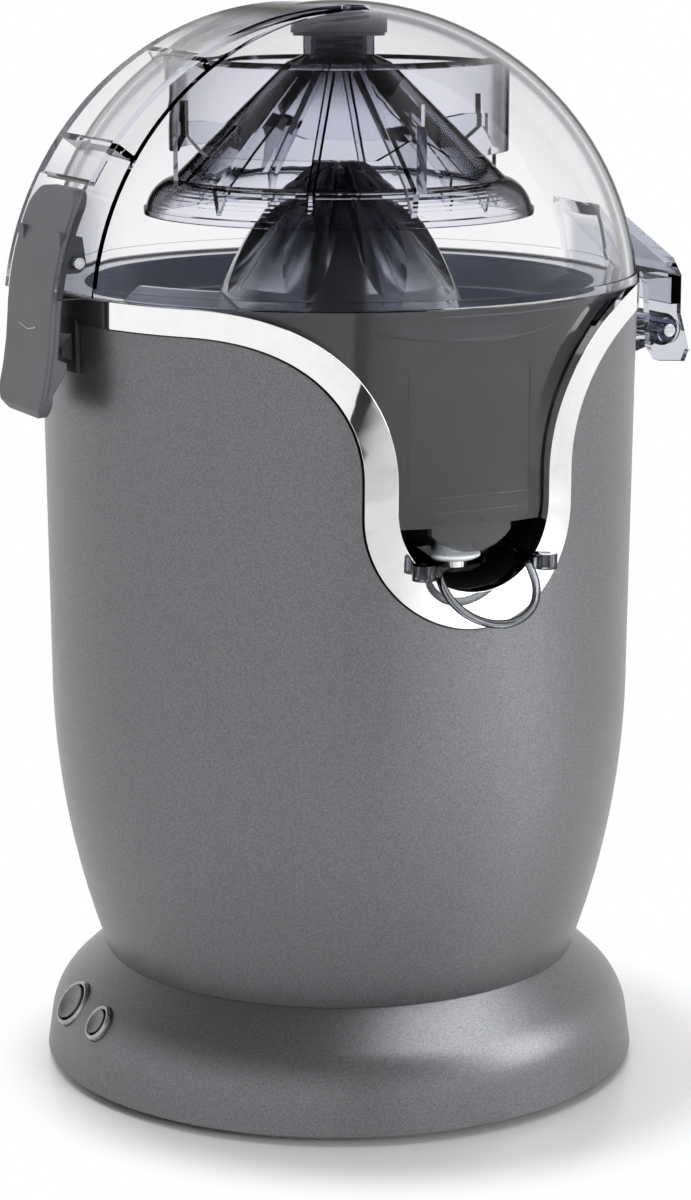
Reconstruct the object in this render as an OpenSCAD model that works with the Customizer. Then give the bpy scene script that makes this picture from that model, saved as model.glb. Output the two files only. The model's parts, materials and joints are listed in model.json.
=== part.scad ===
// Citrus juicer: painted barrel body, clear domed lid with a sprung press, rising reamer,
// smoky juice collector and a lever tap.
// Millimetres, +Z up, the table is z = 0, the spindle is the Z axis.
// The tap faces -Y, the latch and the buttons are at -X, the lid hinge is at +X.

/* [Base] */
// Radius of the base at its foot
base_r = 83; // [76:0.5:92]
// Radius of the seam between body and base
seam_r = 66; // [62:0.5:70]
// Height of that seam above the table
seam_z = 32.5; // [30:0.5:36]
// Base shoulder radius
base_round = 20; // [18:0.5:22]
// Height of the shoulder centre
shoulder_z = 9; // [8:0.1:10]
// Draft of the base side, degrees
base_draft = 8; // [4:0.5:12]
// Base top thickness
base_top_t = 3; // [2.5:0.1:4]
// Width of the top ring of the base
seam_w = 16; // [14:0.5:18]
// Foot ring height under the base
foot_h = 2.5; // [1.5:0.1:4]
// Foot ring width
foot_w = 6; // [4:0.5:8]
// Foot ring distance from the base edge
foot_inset = 11; // [9:0.5:13]
// Bottom plate thickness
plate_t = 2.5; // [2:0.1:4]
// Pitch of the vent slots in the bottom plate
vent_pitch = 7; // [6:0.5:9]
// Width of one vent slot
vent_w = 3; // [2:0.1:4]
// Vent slot length
vent_len = 44; // [30:1:50]
// Distance of the screw posts from the seam
post_inset = 9; // [8:0.5:10]
// Radius of one screw post
post_r = 4; // [3.5:0.1:4.5]
// Radius of the self-tapping screws
screw_r = 1.5; // [1.2:0.1:1.8]
// Screw head thickness
head_t = 1.2; // [0.8:0.1:1.6]
// Length of the base screws in their posts
screw_len = 11; // [8:0.5:13]
// Cord inlet radius
inlet_r = 3.6; // [3:0.1:4]
// Height of the cord inlet above the table
inlet_z = 13; // [12.5:0.1:13.5]
// Cord gland wall
gland_wall = 1.6; // [1.2:0.1:2]
// How far the gland stands out of the base
gland_out = 1.25; // [0.5:0.05:2]
// How far the gland reaches into the base
gland_in = 9; // [8.8:0.1:10]
// Gland flange thickness and reach
gland_flange = 1.2; // [1:0.1:1.4]

/* [Control board] */
// Control board width
board_w = 56; // [50:1:60]
// Control board depth
board_d = 36; // [32:1:38]
// Control board thickness
board_t = 1.6; // [1:0.1:2]
// Board distance from the spindle
board_y = 28; // [26:0.5:30]
// Board height above the bottom plate
board_lift = 5; // [4:0.5:7]
// Tallest parts on the board
board_tall = 13; // [10:0.5:14]

/* [Body] */
// Radius of the body at its rim
rim_r = 81.3; // [73:0.1:92]
// Height of the rim above the table
rim_z = 219.5; // [205:0.5:240]
// How much narrower the body is at its belly
body_taper = 1.3; // [0.5:0.1:2]
// Height of the belly
belly_z = 112; // [100:1:120]
// Wall of base and body
wall = 2.5; // [2:0.1:2.8]
// Body flange thickness
flange_t = 3; // [2:0.1:4]

/* [Front opening] */
// Half width of the opening in the body
mouth_half = 30; // [28:0.5:33]
// Depth of the opening below the rim
mouth_depth = 82.2; // [76:0.2:90]
// Radius of the flare at the top of the opening
flare_r = 36; // [32:0.5:40]
// Width of the chrome trim at the sides
trim_side = 8.1; // [7:0.1:9]
// Width of the chrome trim at the bottom
trim_bottom = 9.6; // [8.5:0.1:11]
// Width of the chrome trim along the rim
trim_top = 7; // [6:0.1:8]
// How far the trim stands proud of the body
trim_proud = 0.6; // [0.4:0.1:1]
// Trim thickness under the body surface
trim_sunk = 1.5; // [1:0.1:2]
// How far the trim stops short of the sides
trim_short = 3.3; // [2.8:0.1:4]
// Shadow gap between the trim and the body
trim_gap = 0.4; // [0.2:0.05:0.6]
// Thickness of the lip inside the trim
lip_t = 1.6; // [1.2:0.1:2]
// Depth of that lip
lip_depth = 4; // [3:0.1:4.2]

/* [Liner] */
// Black inner liner wall
liner_wall = 1.6; // [1.4:0.1:2]
// Gap between the body wall and the liner
liner_gap = 2.8; // [2.6:0.1:3.2]
// Depth of the deck under the rim
deck_depth = 29; // [27:0.2:32]
// Deck thickness
deck_t = 2.5; // [2:0.1:3]
// Gap between that lip and the tap niche
niche_gap = 0.9; // [0.6:0.1:1.5]
// Tap niche depth
niche_depth = 23; // [22:0.5:26]
// Spindle bush wall
bush_wall = 2; // [1.6:0.1:2.4]
// Spindle tower wall
tower_wall = 3; // [2:0.1:3.4]
// Height of the spindle tower above the deck
tower_h = 15.5; // [14:0.1:16.5]
// Thickness of the shaft seal on the tower
seal_t = 1.8; // [1.4:0.1:2]

/* [Collector] */
// Gap between the liner and the bowl
bowl_gap = 2.7; // [2:0.1:3]
// Gap between the deck and the floor of the bowl
bowl_rise = 3.3; // [2.5:0.1:4]
// Collector wall
bowl_wall = 2.2; // [1.8:0.1:2.6]
// Gap between the body wall and the bowl flange
flange_gap = 1.2; // [0.8:0.1:1.6]
// Bowl flange thickness
bowl_flange_t = 2; // [1.6:0.1:2.2]
// Set-back of the front face from the flange
bib_step = 0.2; // [0.1:0.1:0.6]
// Gap between the front face and the trim
bib_gap = 0.5; // [0.3:0.1:0.8]
// Height of the front face above the opening
bib_rise = 16.7; // [16:0.1:19]
// Half width of the drip tab
tab_half = 11.5; // [10:0.1:12]
// Height of the drip tab above the opening
tab_rise = 9.9; // [9.5:0.1:11]
// Radius of the lower edge of the drip tab
tab_round = 16; // [14:0.5:24]
// Gap between the opening and the sump
sump_gap = 2; // [1.5:0.1:3]
// Gap between the niche and the back of the sump
sump_back_gap = 3; // [2:0.1:3.5]
// Gap between the spindle tower and its chimney
chimney_gap = 1; // [0.6:0.1:1.4]
// Distance of the outlet behind the front face
outlet_in = 10.9; // [10:0.1:11.2]
// Outer radius of the outlet tube
outlet_r = 7; // [6.6:0.1:7.4]
// Outlet tube wall
outlet_wall = 1.6; // [1.2:0.1:1.8]
// Height of the outlet tube above the opening
outlet_rise = 12; // [11.6:0.1:13]
// Height of the finger tabs on the flange
finger_tab_h = 4.5; // [3:0.1:5]
// Half length of one finger tab
finger_half = 18; // [14:0.5:20]
// Turn of the finger tabs from the front, degrees
finger_turn = 58.5; // [55:0.5:62]

/* [Strainer] */
// Depth of the strainer rim below the body rim
strainer_depth = 9.5; // [9:0.1:10.5]
// Depth of the strainer dish below its rim
strainer_dish = 6; // [5.4:0.1:6.6]
// Strainer wall
strainer_wall = 1.6; // [1.2:0.1:2]
// Strainer rim height
strainer_rim = 3.5; // [3:0.1:4]
// Number of slots in the strainer
strainer_slots = 24; // [16:1:36]
// Width of one slot
slot_w = 2; // [1.4:0.1:2.6]

/* [Reamer] */
// Radius of the reamer at its skirt
reamer_r = 34.5; // [31:0.1:38]
// Height of the reamer from skirt to tip
reamer_h = 38.5; // [36:0.1:40]
// Height of the reamer tip above the rim
reamer_tip = 30.5; // [29.5:0.1:31.5]
// Power of the curve from the tip to the skirt
reamer_curve = 2.2; // [2:0.05:2.4]
// Number of ridges and flutes on the reamer
ridge_count = 8; // [6:1:10]
// Radius of a flute at the skirt
flute_r = 15; // [13:0.5:17]
// Radius of a flute at the tip
flute_tip_r = 2.2; // [1.8:0.1:2.4]
// Depth of the top of a flute below the tip
flute_start = 2.5; // [2.2:0.1:3]
// Height of the foot of a flute above the skirt
flute_end = 2; // [1.5:0.1:3]
// Least wall of the reamer
reamer_wall = 1.8; // [1.4:0.1:2]
// Radius of the drive hub inside the reamer
hub_r = 8; // [7:0.1:9]
// Depth of the hub below the reamer tip
hub_depth = 11.5; // [11:0.1:12.5]
// Spindle radius
spindle_r = 4; // [3.6:0.1:4.4]
// Lift of the reamer while it juices
reamer_lift = 18; // [10:1:18]
// Spindle hexagon left in the gear at full lift
hex_grip = 6; // [4:0.5:8]

/* [Lid] */
// How far the dome reaches beyond the rim
lid_over = 0.2; // [0:0.1:0.6]
// Rim height above the dome centre
dome_rise = 7; // [6:0.1:8]
// Dome wall
lid_wall = 2.3; // [1.8:0.1:2.6]
// Gap between the rim and the closed lid
lid_gap = 0.3; // [0.2:0.05:0.5]
// Height of the thick lower edge of the dome
bead_h = 2.5; // [1.5:0.1:4]
// How far that edge stands proud of the dome
bead_proud = 0.6; // [0.3:0.1:0.8]
// Half width of the raised crest over the latch
crest_half = 18.5; // [17.5:0.1:20.5]
// Crest wall
crest_wall = 2.3; // [1.8:0.1:2.6]
// Crest radius beyond the dome radius
crest_over = 2.7; // [2.5:0.1:3]
// Offset of the crest centre from the spindle
crest_x = 6.5; // [6:0.1:7]
// Drop of the crest centre under the dome centre
crest_drop = 3.5; // [3:0.1:4]
// Height of the latch window above the rim
window_h = 30; // [28:0.1:32]
// Thickness of the cross walls in the crest
rung_t = 1.8; // [1.4:0.1:2.2]

/* [Press] */
// Press skirt radius
skirt_r = 52.5; // [48:0.1:57]
// Height of the skirt edge above the rim
skirt_low = 17.8; // [17:0.1:19]
// Height of the rounded edge of the skirt
skirt_edge = 1.6; // [1.2:0.1:2]
// How far that edge stands out on both sides
skirt_bead = 0.5; // [0.3:0.1:0.8]
// Radius of the bell curve above the skirt
bell_r = 10; // [9:0.1:11]
// Bell curve sweep, degrees
bell_sweep = 75; // [70:1:80]
// Press wall
press_wall = 2; // [1.6:0.1:2.2]
// Number of gripping ribs in the press
grip_ribs = 10; // [8:1:14]
// Thickness of one gripping rib
grip_rib_t = 1.6; // [1.2:0.1:2]
// Distance of the guide ring inside the skirt
guide_in = 6.5; // [6:0.1:7]
// Height of the guide ring above the rim
guide_low = 34.7; // [34:0.1:36]
// Number of guide ribs on the press
guide_ribs = 4; // [3:1:6]
// Thickness of one guide rib
guide_rib_t = 3; // [2:0.1:4]
// Height of the guide ribs in the guide ring
guide_rib_h = 8.5; // [7:0.1:9]
// Width of the slanted corners beside each notch
notch_flare = 9; // [6:0.5:10]
// Height of those corners
notch_rise = 5; // [3:0.1:6]
// Radius of the hub under the top of the dome
press_hub_r = 13; // [12:0.1:14]
// Depth of that hub below the top of the dome
press_hub_h = 7.3; // [6.8:0.1:8]
// Radius of the neck of the press in its hub
neck_r = 9.6; // [9:0.1:10]
// Height of the neck inside the hub
neck_rise = 1.1; // [0.8:0.1:1.4]
// Depth of the foot of the neck below the hub
neck_drop = 5.4; // [5:0.1:6]
// Neck foot thickness
neck_plate = 1.6; // [1.4:0.1:2]
// Press screw head radius
press_head_r = 4; // [3.5:0.1:4.4]
// Press screw head thickness
press_head_t = 2; // [1.6:0.1:2.4]
// Press travel against its spring
press_travel = 4; // [2:0.5:4]
// Press spring turns
spring_turns = 5; // [4:1:6]
// Press spring radius
spring_r = 6; // [5:0.1:6.2]
// Press spring wire radius
spring_wire = 0.45; // [0.3:0.05:0.5]

/* [Latch] */
// Gap beside the latch in the crest
latch_side_gap = 0.7; // [0.5:0.1:1.2]
// Gap over the latch in its window
latch_head_gap = 2.5; // [2:0.1:3.5]
// Latch plate thickness
latch_t = 3; // [2.4:0.1:3.2]
// Latch length
latch_len = 59; // [56:0.5:62]
// Radius of the corners of the latch
latch_round = 7; // [5:0.5:9]
// Latch pin radius
latch_pin_r = 1.5; // [1.2:0.1:1.6]
// Height of the latch pin above the rim
latch_pin_z = 9.5; // [9:0.1:10.5]
// Distance of the latch pin outside the rim
latch_pin_out = 2; // [1.8:0.1:2.5]
// Radius of the lugs round the latch pin
lug_r = 2.9; // [2.6:0.1:3]
// Thickness of one lug
lug_t = 4; // [3:0.1:5]
// Side step of the latch front layer
latch_step = 0.5; // [0.3:0.1:0.7]
// Gap between latch nose and catch
latch_play = 1; // [0.8:0.1:1.5]
// Reach of the catch from the body
catch_reach = 3.9; // [3:0.1:4.2]
// Half width of the catch plate on the body
catch_plate_half = 11; // [9:0.5:13]
// Depth of the catch plate under the rim block
catch_plate_h = 13; // [12:0.5:15]
// Depth of the catch nose under the rim block
catch_nose_h = 6; // [5.5:0.1:7]
// Catch plate thickness
catch_plate_t = 1.4; // [1:0.1:1.6]

/* [Hinge] */
// Distance of the hinge pin outside the rim
hinge_out = 15.7; // [15:0.1:17]
// Depth of the hinge pin below the rim
hinge_depth = 18.7; // [18:0.1:20]
// Hinge pin radius
hinge_pin_r = 1.8; // [1.5:0.1:2]
// Half width of the hinge over the lid ears
ear_half = 14; // [13:0.1:15]
// Thickness of one lid ear
ear_t = 3; // [2.4:0.1:3.4]
// Height of the round boss on each ear
ear_boss = 0.8; // [0.5:0.1:1.2]
// Radius of the bracket nose round the pin
nose_r = 4.6; // [4:0.1:5]
// Thickness of the bracket plate on the body
bracket_t = 3; // [2.6:0.1:3.4]
// Half distance between the two hinge screws
hinge_screw_y = 7; // [6:0.1:7.5]

/* [Tap] */
// Distance of the tap pivot behind the outlet
tap_back = 9.5; // [9:0.1:10]
// Height of the tap pivot above the opening
tap_rise = 11.6; // [11:0.1:12]
// Gap between the opening and the tap arms
tap_side_gap = 7.5; // [7:0.1:8]
// Thickness of one tap arm
tap_arm_t = 2.2; // [1.8:0.1:2.4]
// Height of one tap arm
tap_arm_h = 2.6; // [2.2:0.1:3]
// Tap pin radius
tap_pin_r = 1.25; // [1:0.05:1.4]
// Tap arm slope, degrees
tap_slope = 9.2; // [8.5:0.1:9.5]
// Tap arm length
tap_arm_len = 27; // [26:0.1:30]
// Radius of the eyelets at the ends of the arms
eyelet_r = 3; // [2.6:0.1:3.4]
// Radius of the hole in each eyelet
eyelet_hole = 1.2; // [0.8:0.1:1.4]
// Eyelet boss height
eyelet_h = 4; // [3.4:0.1:4.6]
// Finger loop slope, degrees
loop_slope = 47; // [40:0.5:50]
// Straight length of the finger loop
loop_leg = 4.4; // [3:0.1:6]
// Finger loop wire radius
loop_wire = 1.1; // [0.8:0.05:1.3]
// Stopper disc radius
stopper_r = 7.2; // [7:0.1:7.4]
// Height of the stopper under the outlet
stopper_h = 7.4; // [7.2:0.1:7.8]
// Stopper cradle thickness
cradle_t = 1.5; // [1.2:0.1:2]
// Width of the straps that hang the cradle
strap_w = 5; // [4:0.1:6]
// Thickness of those straps
strap_t = 1.6; // [1.2:0.1:2]

/* [Buttons] */
// Start button radius
start_r = 4.9; // [4.5:0.1:5.5]
// Reset button radius
reset_r = 3.4; // [3:0.1:4]
// Distance between the two buttons
button_pitch = 18.4; // [17:0.1:20]
// Tilt of the buttons on the shoulder, degrees
button_tilt = 35; // [32:0.5:38]
// How far the button seats are sunk
button_sink = 0.6; // [0.4:0.1:1]
// Button bezel wall
bezel_wall = 1.3; // [1:0.1:1.6]
// Length of the bezel behind the base surface
bezel_len = 11; // [10:0.2:12]
// How far the bezels stand out of the base
bezel_out = 1; // [0.6:0.1:1.4]
// Buttons travel
button_travel = 1.5; // [1:0.1:2]
// Button caps height
cap_h = 6; // [5:0.1:7]
// Depth of the dish in each cap
cap_dish = 0.7; // [0.4:0.1:1]
// Radius of the stem under each cap
stem_r = 1.6; // [1.2:0.1:1.8]
// Length of the switches behind the bezels
switch_len = 6; // [5:0.1:7]

/* [Motor and gears] */
// Motor can radius
motor_r = 26; // [24:0.5:29]
// Gap between the chassis plate and the motor
motor_gap = 5.5; // [4:0.5:10]
// Motor can wall
can_wall = 1.6; // [1.2:0.1:2]
// Thickness of the closed end of the can
can_end = 4; // [3:0.1:5]
// Thickness of the cap that closes the can
can_cap = 6; // [5:0.1:7]
// Gap round the armature
rotor_gap = 7.4; // [6:0.1:9]
// Motor shaft radius
shaft_r = 2.5; // [2:0.1:2.7]
// Depth of the gear plate below the deck
gear_drop = 76.5; // [72:0.5:80]
// Thickness of chassis and gear plates
chassis_t = 3; // [2:0.1:4]
// Distance of these plates inside the seam
chassis_inset = 6; // [5:0.5:7]
// Distance of frame posts inside the screw posts
frame_inset = 7; // [6:0.5:9]
// Radius of one frame post
frame_post_r = 4; // [3:0.1:5]
// Gear module
gear_m = 0.8; // [0.72:0.01:0.88]
// Teeth of the small gears
small_teeth = 15; // [15:1:16]
// Teeth of the large gears
large_teeth = 60; // [56:1:60]
// Backlash of the teeth
backlash = 0.25; // [0.2:0.01:0.35]
// Face width of the gears
gear_face = 10; // [8:0.5:11]
// Clearance above and below the gears
gear_clear = 2.5; // [2:0.1:3]
// Idler pin radius
idler_r = 3; // [2.5:0.1:3.4]
// Gap between the large gears and the gear cover
cover_gap = 2.2; // [1.6:0.1:3]
// Gear cover wall
cover_wall = 2.4; // [2:0.1:3]
// Height of the screw feet of the gear cover
cover_foot = 4; // [3:0.1:5]
// Output hub radius
output_hub_r = 7; // [6.5:0.1:7.5]
// Height of the output hub above the gear cover
output_rise = 10; // [8:0.5:12]
// Output bush wall
output_bush_wall = 2.5; // [2:0.1:3]
// Wall of the collar round the output bush
output_collar = 3; // [2:0.1:4]
// Lift nut height
nut_h = 9; // [7:0.5:12]
// Lift nut wall
nut_wall = 4; // [3:0.1:5]

/* [Fits] */
// Clearance of running fits
run_gap = 0.05; // [0.02:0.01:0.08]
// Clearance of press-fitted pins and bushes
pin_gap = 0.025; // [0.01:0.005:0.05]
// Clearance of seated pieces
seat_gap = 0.1; // [0.05:0.01:0.2]
// Clearance between moving pieces
part_gap = 0.4; // [0.3:0.05:0.5]

/* [Hidden] */
$fn = 96;
eps = 0.05;
far = 1.5 * rim_r;

// Colours
paint = "#6f7073";
chrome = "#d8dadb";
steel = "#b9bcbf";
black = "#1e1f21";
smoke = "#4a4c50";
clear = "#c9c9d2";
grey = "#77797c";
rubber = "#2a2a2b";
brass = "#b89a55";
white = "#e6e9ec";
board = "#2f6b3d";

// Base: the shoulder round touches the side line and the slope to the seam
side_n = [cos(base_draft), sin(base_draft)];
base_foot = [base_r, foot_h];
base_top = [seam_r, seam_z];
base_c = [(side_n * base_foot - base_round - side_n[1] * shoulder_z) / side_n[0], shoulder_z];
to_top = base_top - base_c;
slope_a = atan2(to_top[1], to_top[0]) - acos(base_round / norm(to_top));
slope_n = [cos(slope_a), sin(slope_a)];
base_steps = 14;
duct_r = seam_r - seam_w;
plate_top = foot_h + plate_t;
plate_r = base_r - wall / side_n[0] - seat_gap - plate_t * side_n[1];
foot_mid = base_r - foot_inset;
stud_r = foot_w / 3;
post_top = seam_z - base_top_t;
post_ring = seam_r - post_inset;
head_r = 2 * screw_r;
hole_r = screw_r + seat_gap;
post_angles = [45, 135, 225, 315];
cross_angles = [0, 90, 180, 270];
gland_r = inlet_r + gland_wall;
button_at = base_c + (base_round - button_sink) * [cos(button_tilt), sin(button_tilt)];

// Body: the barrel arc starts upright at the belly and ends at the seam
belly_r = rim_r - body_taper;
barrel_r = (pow(belly_z - seam_z, 2) + pow(belly_r - seam_r, 2)) / (2 * (belly_r - seam_r));
barrel_steps = 24;
function barrel_at(z, inset) =
    belly_r - barrel_r + sqrt(pow(barrel_r - inset, 2) - pow(z - belly_z, 2));
function body_r(z) = belly_r + (rim_r - belly_r) * (z - belly_z) / (rim_z - belly_z);

// Front opening in the body, and the smaller one inside the chrome trim
mouth_low = rim_z - mouth_depth;
trim_edge = rim_z - trim_top;
trim_reach = rim_r - trim_short;
trim_end_y = sqrt(rim_r * rim_r - trim_reach * trim_reach);
mouth_in_half = mouth_half - trim_side;
mouth_in_low = mouth_low + trim_bottom;
flare_in_r = flare_r + trim_side;

// Liner
liner_r = rim_r - wall - liner_gap;
deck_z = rim_z - deck_depth;
niche_half = mouth_in_half + lip_t + niche_gap;
niche_back = liner_r - niche_depth;
bush_r = spindle_r + bush_wall;
tower_r = bush_r + tower_wall;
tower_top = deck_z + tower_h;

// Collector and strainer
bowl_r = liner_r - liner_wall - bowl_gap;
bowl_floor = deck_z + bowl_rise + bowl_wall;
bowl_flange_r = rim_r - wall - flange_gap;
seat_z = rim_z - bowl_flange_t - 3 * seat_gap;
chimney_r = tower_r + chimney_gap + bowl_wall;
bib_r = bowl_flange_r - bib_step;
bib_low = mouth_in_low + bib_rise;
tab_low = mouth_in_low + tab_rise;
sump_half = mouth_in_half - sump_gap;
sump_back = niche_back + sump_back_gap;
outlet_y = bib_r - outlet_in;
outlet_low = mouth_in_low + outlet_rise;
strainer_z = rim_z - strainer_depth;

// Reamer: the inner line of a flute runs straight from below the tip to the skirt
reamer_top = rim_z + reamer_tip;
reamer_low = reamer_top - reamer_h;
reamer_steps = 12;
function reamer_at(r) = reamer_top - reamer_h * pow(r / reamer_r, reamer_curve);
flute_a = [reamer_r / 5, reamer_top - flute_start];
flute_b = [reamer_r, reamer_low + flute_end];
flute_len = norm(flute_b - flute_a);
flute_d = (flute_b - flute_a) / flute_len;
flute_n = [-flute_d[1], flute_d[0]];
flute_in = flute_a - reamer_wall * flute_n;
function reamer_in(z) = flute_in[0] - (flute_in[1] - z) * flute_d[0] / flute_d[1];
hub_top = reamer_top - hub_depth;
hub_low = reamer_low - 2;
spindle_top = hub_top - 3;

// Lid and crest
dome_r = rim_r + lid_over;
dome_in = dome_r - lid_wall;
dome_z = rim_z - dome_rise;
lid_low = rim_z + lid_gap;
bead_r = sqrt(dome_r * dome_r - dome_rise * dome_rise) + bead_proud;
crest_r = dome_r + crest_over;
crest_z = dome_z - crest_drop;
crest_in = crest_half - crest_wall;
rung_angles = [37, 60];
function crest_at(z, inset) = -crest_x - sqrt(pow(crest_r - inset, 2) - pow(z - crest_z, 2));

// Press
dome_top = dome_z + dome_in;
press_hub_z = dome_top - press_hub_h;
neck_top = press_hub_z + neck_rise;
cone_top = press_hub_z - neck_drop;
neck_in = neck_r - press_wall;
press_bore = screw_r + part_gap;
skirt_z = rim_z + skirt_low;
bell_c = [skirt_r - bell_r, skirt_z];
bell_steps = 8;
function bell(r) =
    let (low = asin(skirt_edge / r))
    [for (i = [0 : bell_steps])
        let (a = low + (bell_sweep - low) * i / bell_steps)
        bell_c + r * [cos(a), sin(a)]];
bell_tip = bell_c + (bell_r - press_wall) * [cos(bell_sweep), sin(bell_sweep)];
guide_r = skirt_r - guide_in;
guide_z = rim_z + guide_low;

// Press spring: one unbroken tube between the neck of the press and the dome
spring_low = cone_top + seat_gap + spring_wire;
spring_high = dome_z + sqrt(dome_in * dome_in - spring_r * spring_r) - seat_gap - 1.6 * spring_wire;
spring_steps = 8;
spring_sides = 6;
spring_count = spring_turns * spring_steps;
function coil_point(i) =
    let (a = 360 * i / spring_steps)
    [spring_r * cos(a), spring_r * sin(a), spring_low + (spring_high - spring_low) * i / spring_count];
function coil_ring(i) =
    let (a = 360 * i / spring_steps, c = coil_point(i))
    [for (k = [0 : spring_sides - 1])
        let (b = 360 * k / spring_sides)
        c + spring_wire * [cos(a) * cos(b), sin(a) * cos(b), sin(b)]];
// Least gap of the coil to itself, on points half a turn or more apart
half_turn = spring_steps / 2;
spring_gap = min([for (i = [0 : spring_count - half_turn], j = [i + half_turn : spring_count])
    norm(coil_point(i) - coil_point(j))]) - 2 * spring_wire;

// Latch, catch and hinge
latch_w = 2 * (crest_in - latch_side_gap);
latch_z = rim_z + latch_pin_z;
latch_top = rim_z + window_h - latch_head_gap;
latch_pin_x = rim_r + latch_pin_out;
latch_steps = 8;
latch_low = latch_top - latch_len;
latch_bend = rim_z - trim_top;
latch_drop = latch_bend - latch_low;
latch_foot_x = crest_at(latch_bend, 0);
latch_front = concat(
    [for (i = [0 : latch_steps])
        let (z = latch_top + (latch_bend - latch_top) * i / latch_steps)
        [crest_at(z, 0), z]],
    [for (p = [[0.5, 0.25], [1.5, 0.53], [2.8, 0.78], [3, 0.9]])
        [latch_foot_x - p[0], latch_bend - p[1] * latch_drop]]);
lug_y = latch_w / 2 - latch_step - lug_t / 2;
catch_half = trim_end_y - 0.4;
catch_nose_z = trim_edge - catch_nose_h;
hinge_x = rim_r + hinge_out;
hinge_z = rim_z - hinge_depth;
ear_in = ear_half - ear_t;
bracket_half = ear_in - part_gap;

// Tap
tap_y = outlet_y - tap_back;
tap_z = mouth_in_low + tap_rise;
tap_half = mouth_in_half - tap_side_gap;
arm_mid = tap_half - tap_arm_t / 2;
arm_end = [-tap_y - tap_arm_len * cos(tap_slope), tap_z - tap_arm_len * sin(tap_slope)];
stopper_low = outlet_low - stopper_h;
strap_half = stopper_r + 2;

// Motor and gears: motor and spindle share an axis, the compound gear is behind it
chassis_z = seam_z + flange_t;
chassis_top = chassis_z + chassis_t;
chassis_r = seam_r - chassis_inset;
frame_ring = post_ring - frame_inset;
frame_angles = [30, 150, 210, 330];
gear_plate_z = deck_z - gear_drop;
gear_deck = gear_plate_z + chassis_t;
motor_low = chassis_top + motor_gap;
motor_len = gear_plate_z - motor_low;
motor_screw_r = 0.6 * motor_r;
motor_screw_a = [45, 225];
gear_centre = gear_m * (small_teeth + large_teeth) / 2;
stage1_z = gear_deck + gear_clear;
stage2_z = stage1_z + gear_face + gear_clear;
cover_in_r = gear_m * large_teeth / 2 + cover_gap;
cover_r = cover_in_r + cover_wall;
cover_top = stage2_z + gear_face + 2.4 * gear_clear;
cover_screw_r = cover_r + head_r + 2;
cover_screw_a = [0, 180, 270];
output_top = cover_top + output_rise;
output_bush_r = output_hub_r + output_bush_wall;
output_collar_r = output_bush_r + output_collar;
nut_z = output_top + 1.5;

// Revolves a (radius, height) outline about the spindle axis
module spin() {
    rotate_extrude() children();
}

// Ring between two radii and two heights
module ring(r0, r1, z0, z1) {
    spin() translate([r0, z0]) square([r1 - r0, z1 - z0]);
}

// Disc of given radius between two heights
module disc(r, z0, z1) {
    translate([0, 0, z0]) cylinder(r = r, h = z1 - z0);
}

// Extrudes a front view (x, z) from depth y0 to depth y1
module front_cut(y0, y1) {
    translate([0, y1, 0]) rotate([90, 0, 0]) linear_extrude(y1 - y0) children();
}

// Extrudes a side view (x, z) over a width centred on y = 0
module side_plate(w) {
    rotate([90, 0, 0]) linear_extrude(w, center = true) children();
}

// Extrudes a view (y, z) over a width centred on x = 0
module depth_plate(w) {
    rotate([90, 0, 90]) linear_extrude(w, center = true) children();
}

// Copies its children round a circle at the given angles
module around(r, angles) {
    for (a = angles) rotate([0, 0, a]) translate([r, 0, 0]) children();
}

// Cylinder along X centred on x = 0
module x_rod(r, len) {
    rotate([0, 90, 0]) cylinder(r = r, h = len, center = true);
}

// Cylinder along Y centred on y = 0
module y_rod(r, len) {
    rotate([90, 0, 0]) cylinder(r = r, h = len, center = true);
}

// Outline of the base, moved inward by an inset
module base_outline(inset) {
    foot = base_foot - inset * side_n;
    top = base_top - inset * slope_n;
    shoulder = [for (i = [0 : base_steps])
        let (a = base_draft + (slope_a - base_draft) * i / base_steps)
        base_c + (base_round - inset) * [cos(a), sin(a)]];
    polygon(concat([[0, foot[1]], foot], shoulder, [top, [0, top[1]]]));
}

// Section of the body: flange at the foot, barrel curve, straight taper above
module body_section() {
    floor_z = seam_z + flange_t;
    outer = [for (i = [0 : barrel_steps])
        let (z = seam_z + (belly_z - seam_z) * i / barrel_steps)
        [barrel_at(z, 0), z]];
    inner = [for (i = [0 : barrel_steps])
        let (z = belly_z + (floor_z - belly_z) * i / barrel_steps)
        [barrel_at(z, wall), z]];
    rim = [[rim_r, rim_z], [rim_r - wall, rim_z]];
    polygon(concat([[duct_r, seam_z]], outer, rim, inner, [[duct_r, floor_z]]));
}

// Band along the upper body between two heights and two offsets from its surface
module body_band(z0, z1, inner, outer) {
    spin() polygon([[body_r(z0) + inner, z0], [body_r(z0) + outer, z0],
                    [body_r(z1) + outer, z1], [body_r(z1) + inner, z1]]);
}

// Front opening: a round-bottomed slot that flares out into the rim
module mouth(half, low, edge, flare, reach) {
    mid = low + half;
    translate([0, mid]) circle(half);
    translate([-half, mid]) square([2 * half, edge - mid + eps]);
    translate([-reach, edge]) square([2 * reach, 2 * trim_top]);
    for (s = [0, 1]) mirror([s, 0]) translate([half, edge - flare]) difference() {
        translate([-eps, 0]) square([flare + eps, flare + eps]);
        translate([flare, 0]) circle(flare);
    }
}
module outer_mouth(gap) {
    mouth(mouth_half + gap, mouth_low - gap, trim_edge - gap, flare_r - gap, trim_reach + gap);
}
module inner_mouth(gap) {
    mouth(mouth_in_half + gap, mouth_in_low - gap, rim_z - gap, flare_in_r - gap, trim_reach + gap);
}

// Places its children on the shoulder of the base, along a button axis
module at_button(side) {
    translate([-button_at[0], side * button_pitch / 2, button_at[1]])
        rotate([0, button_tilt - 90, 0]) children();
}

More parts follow.
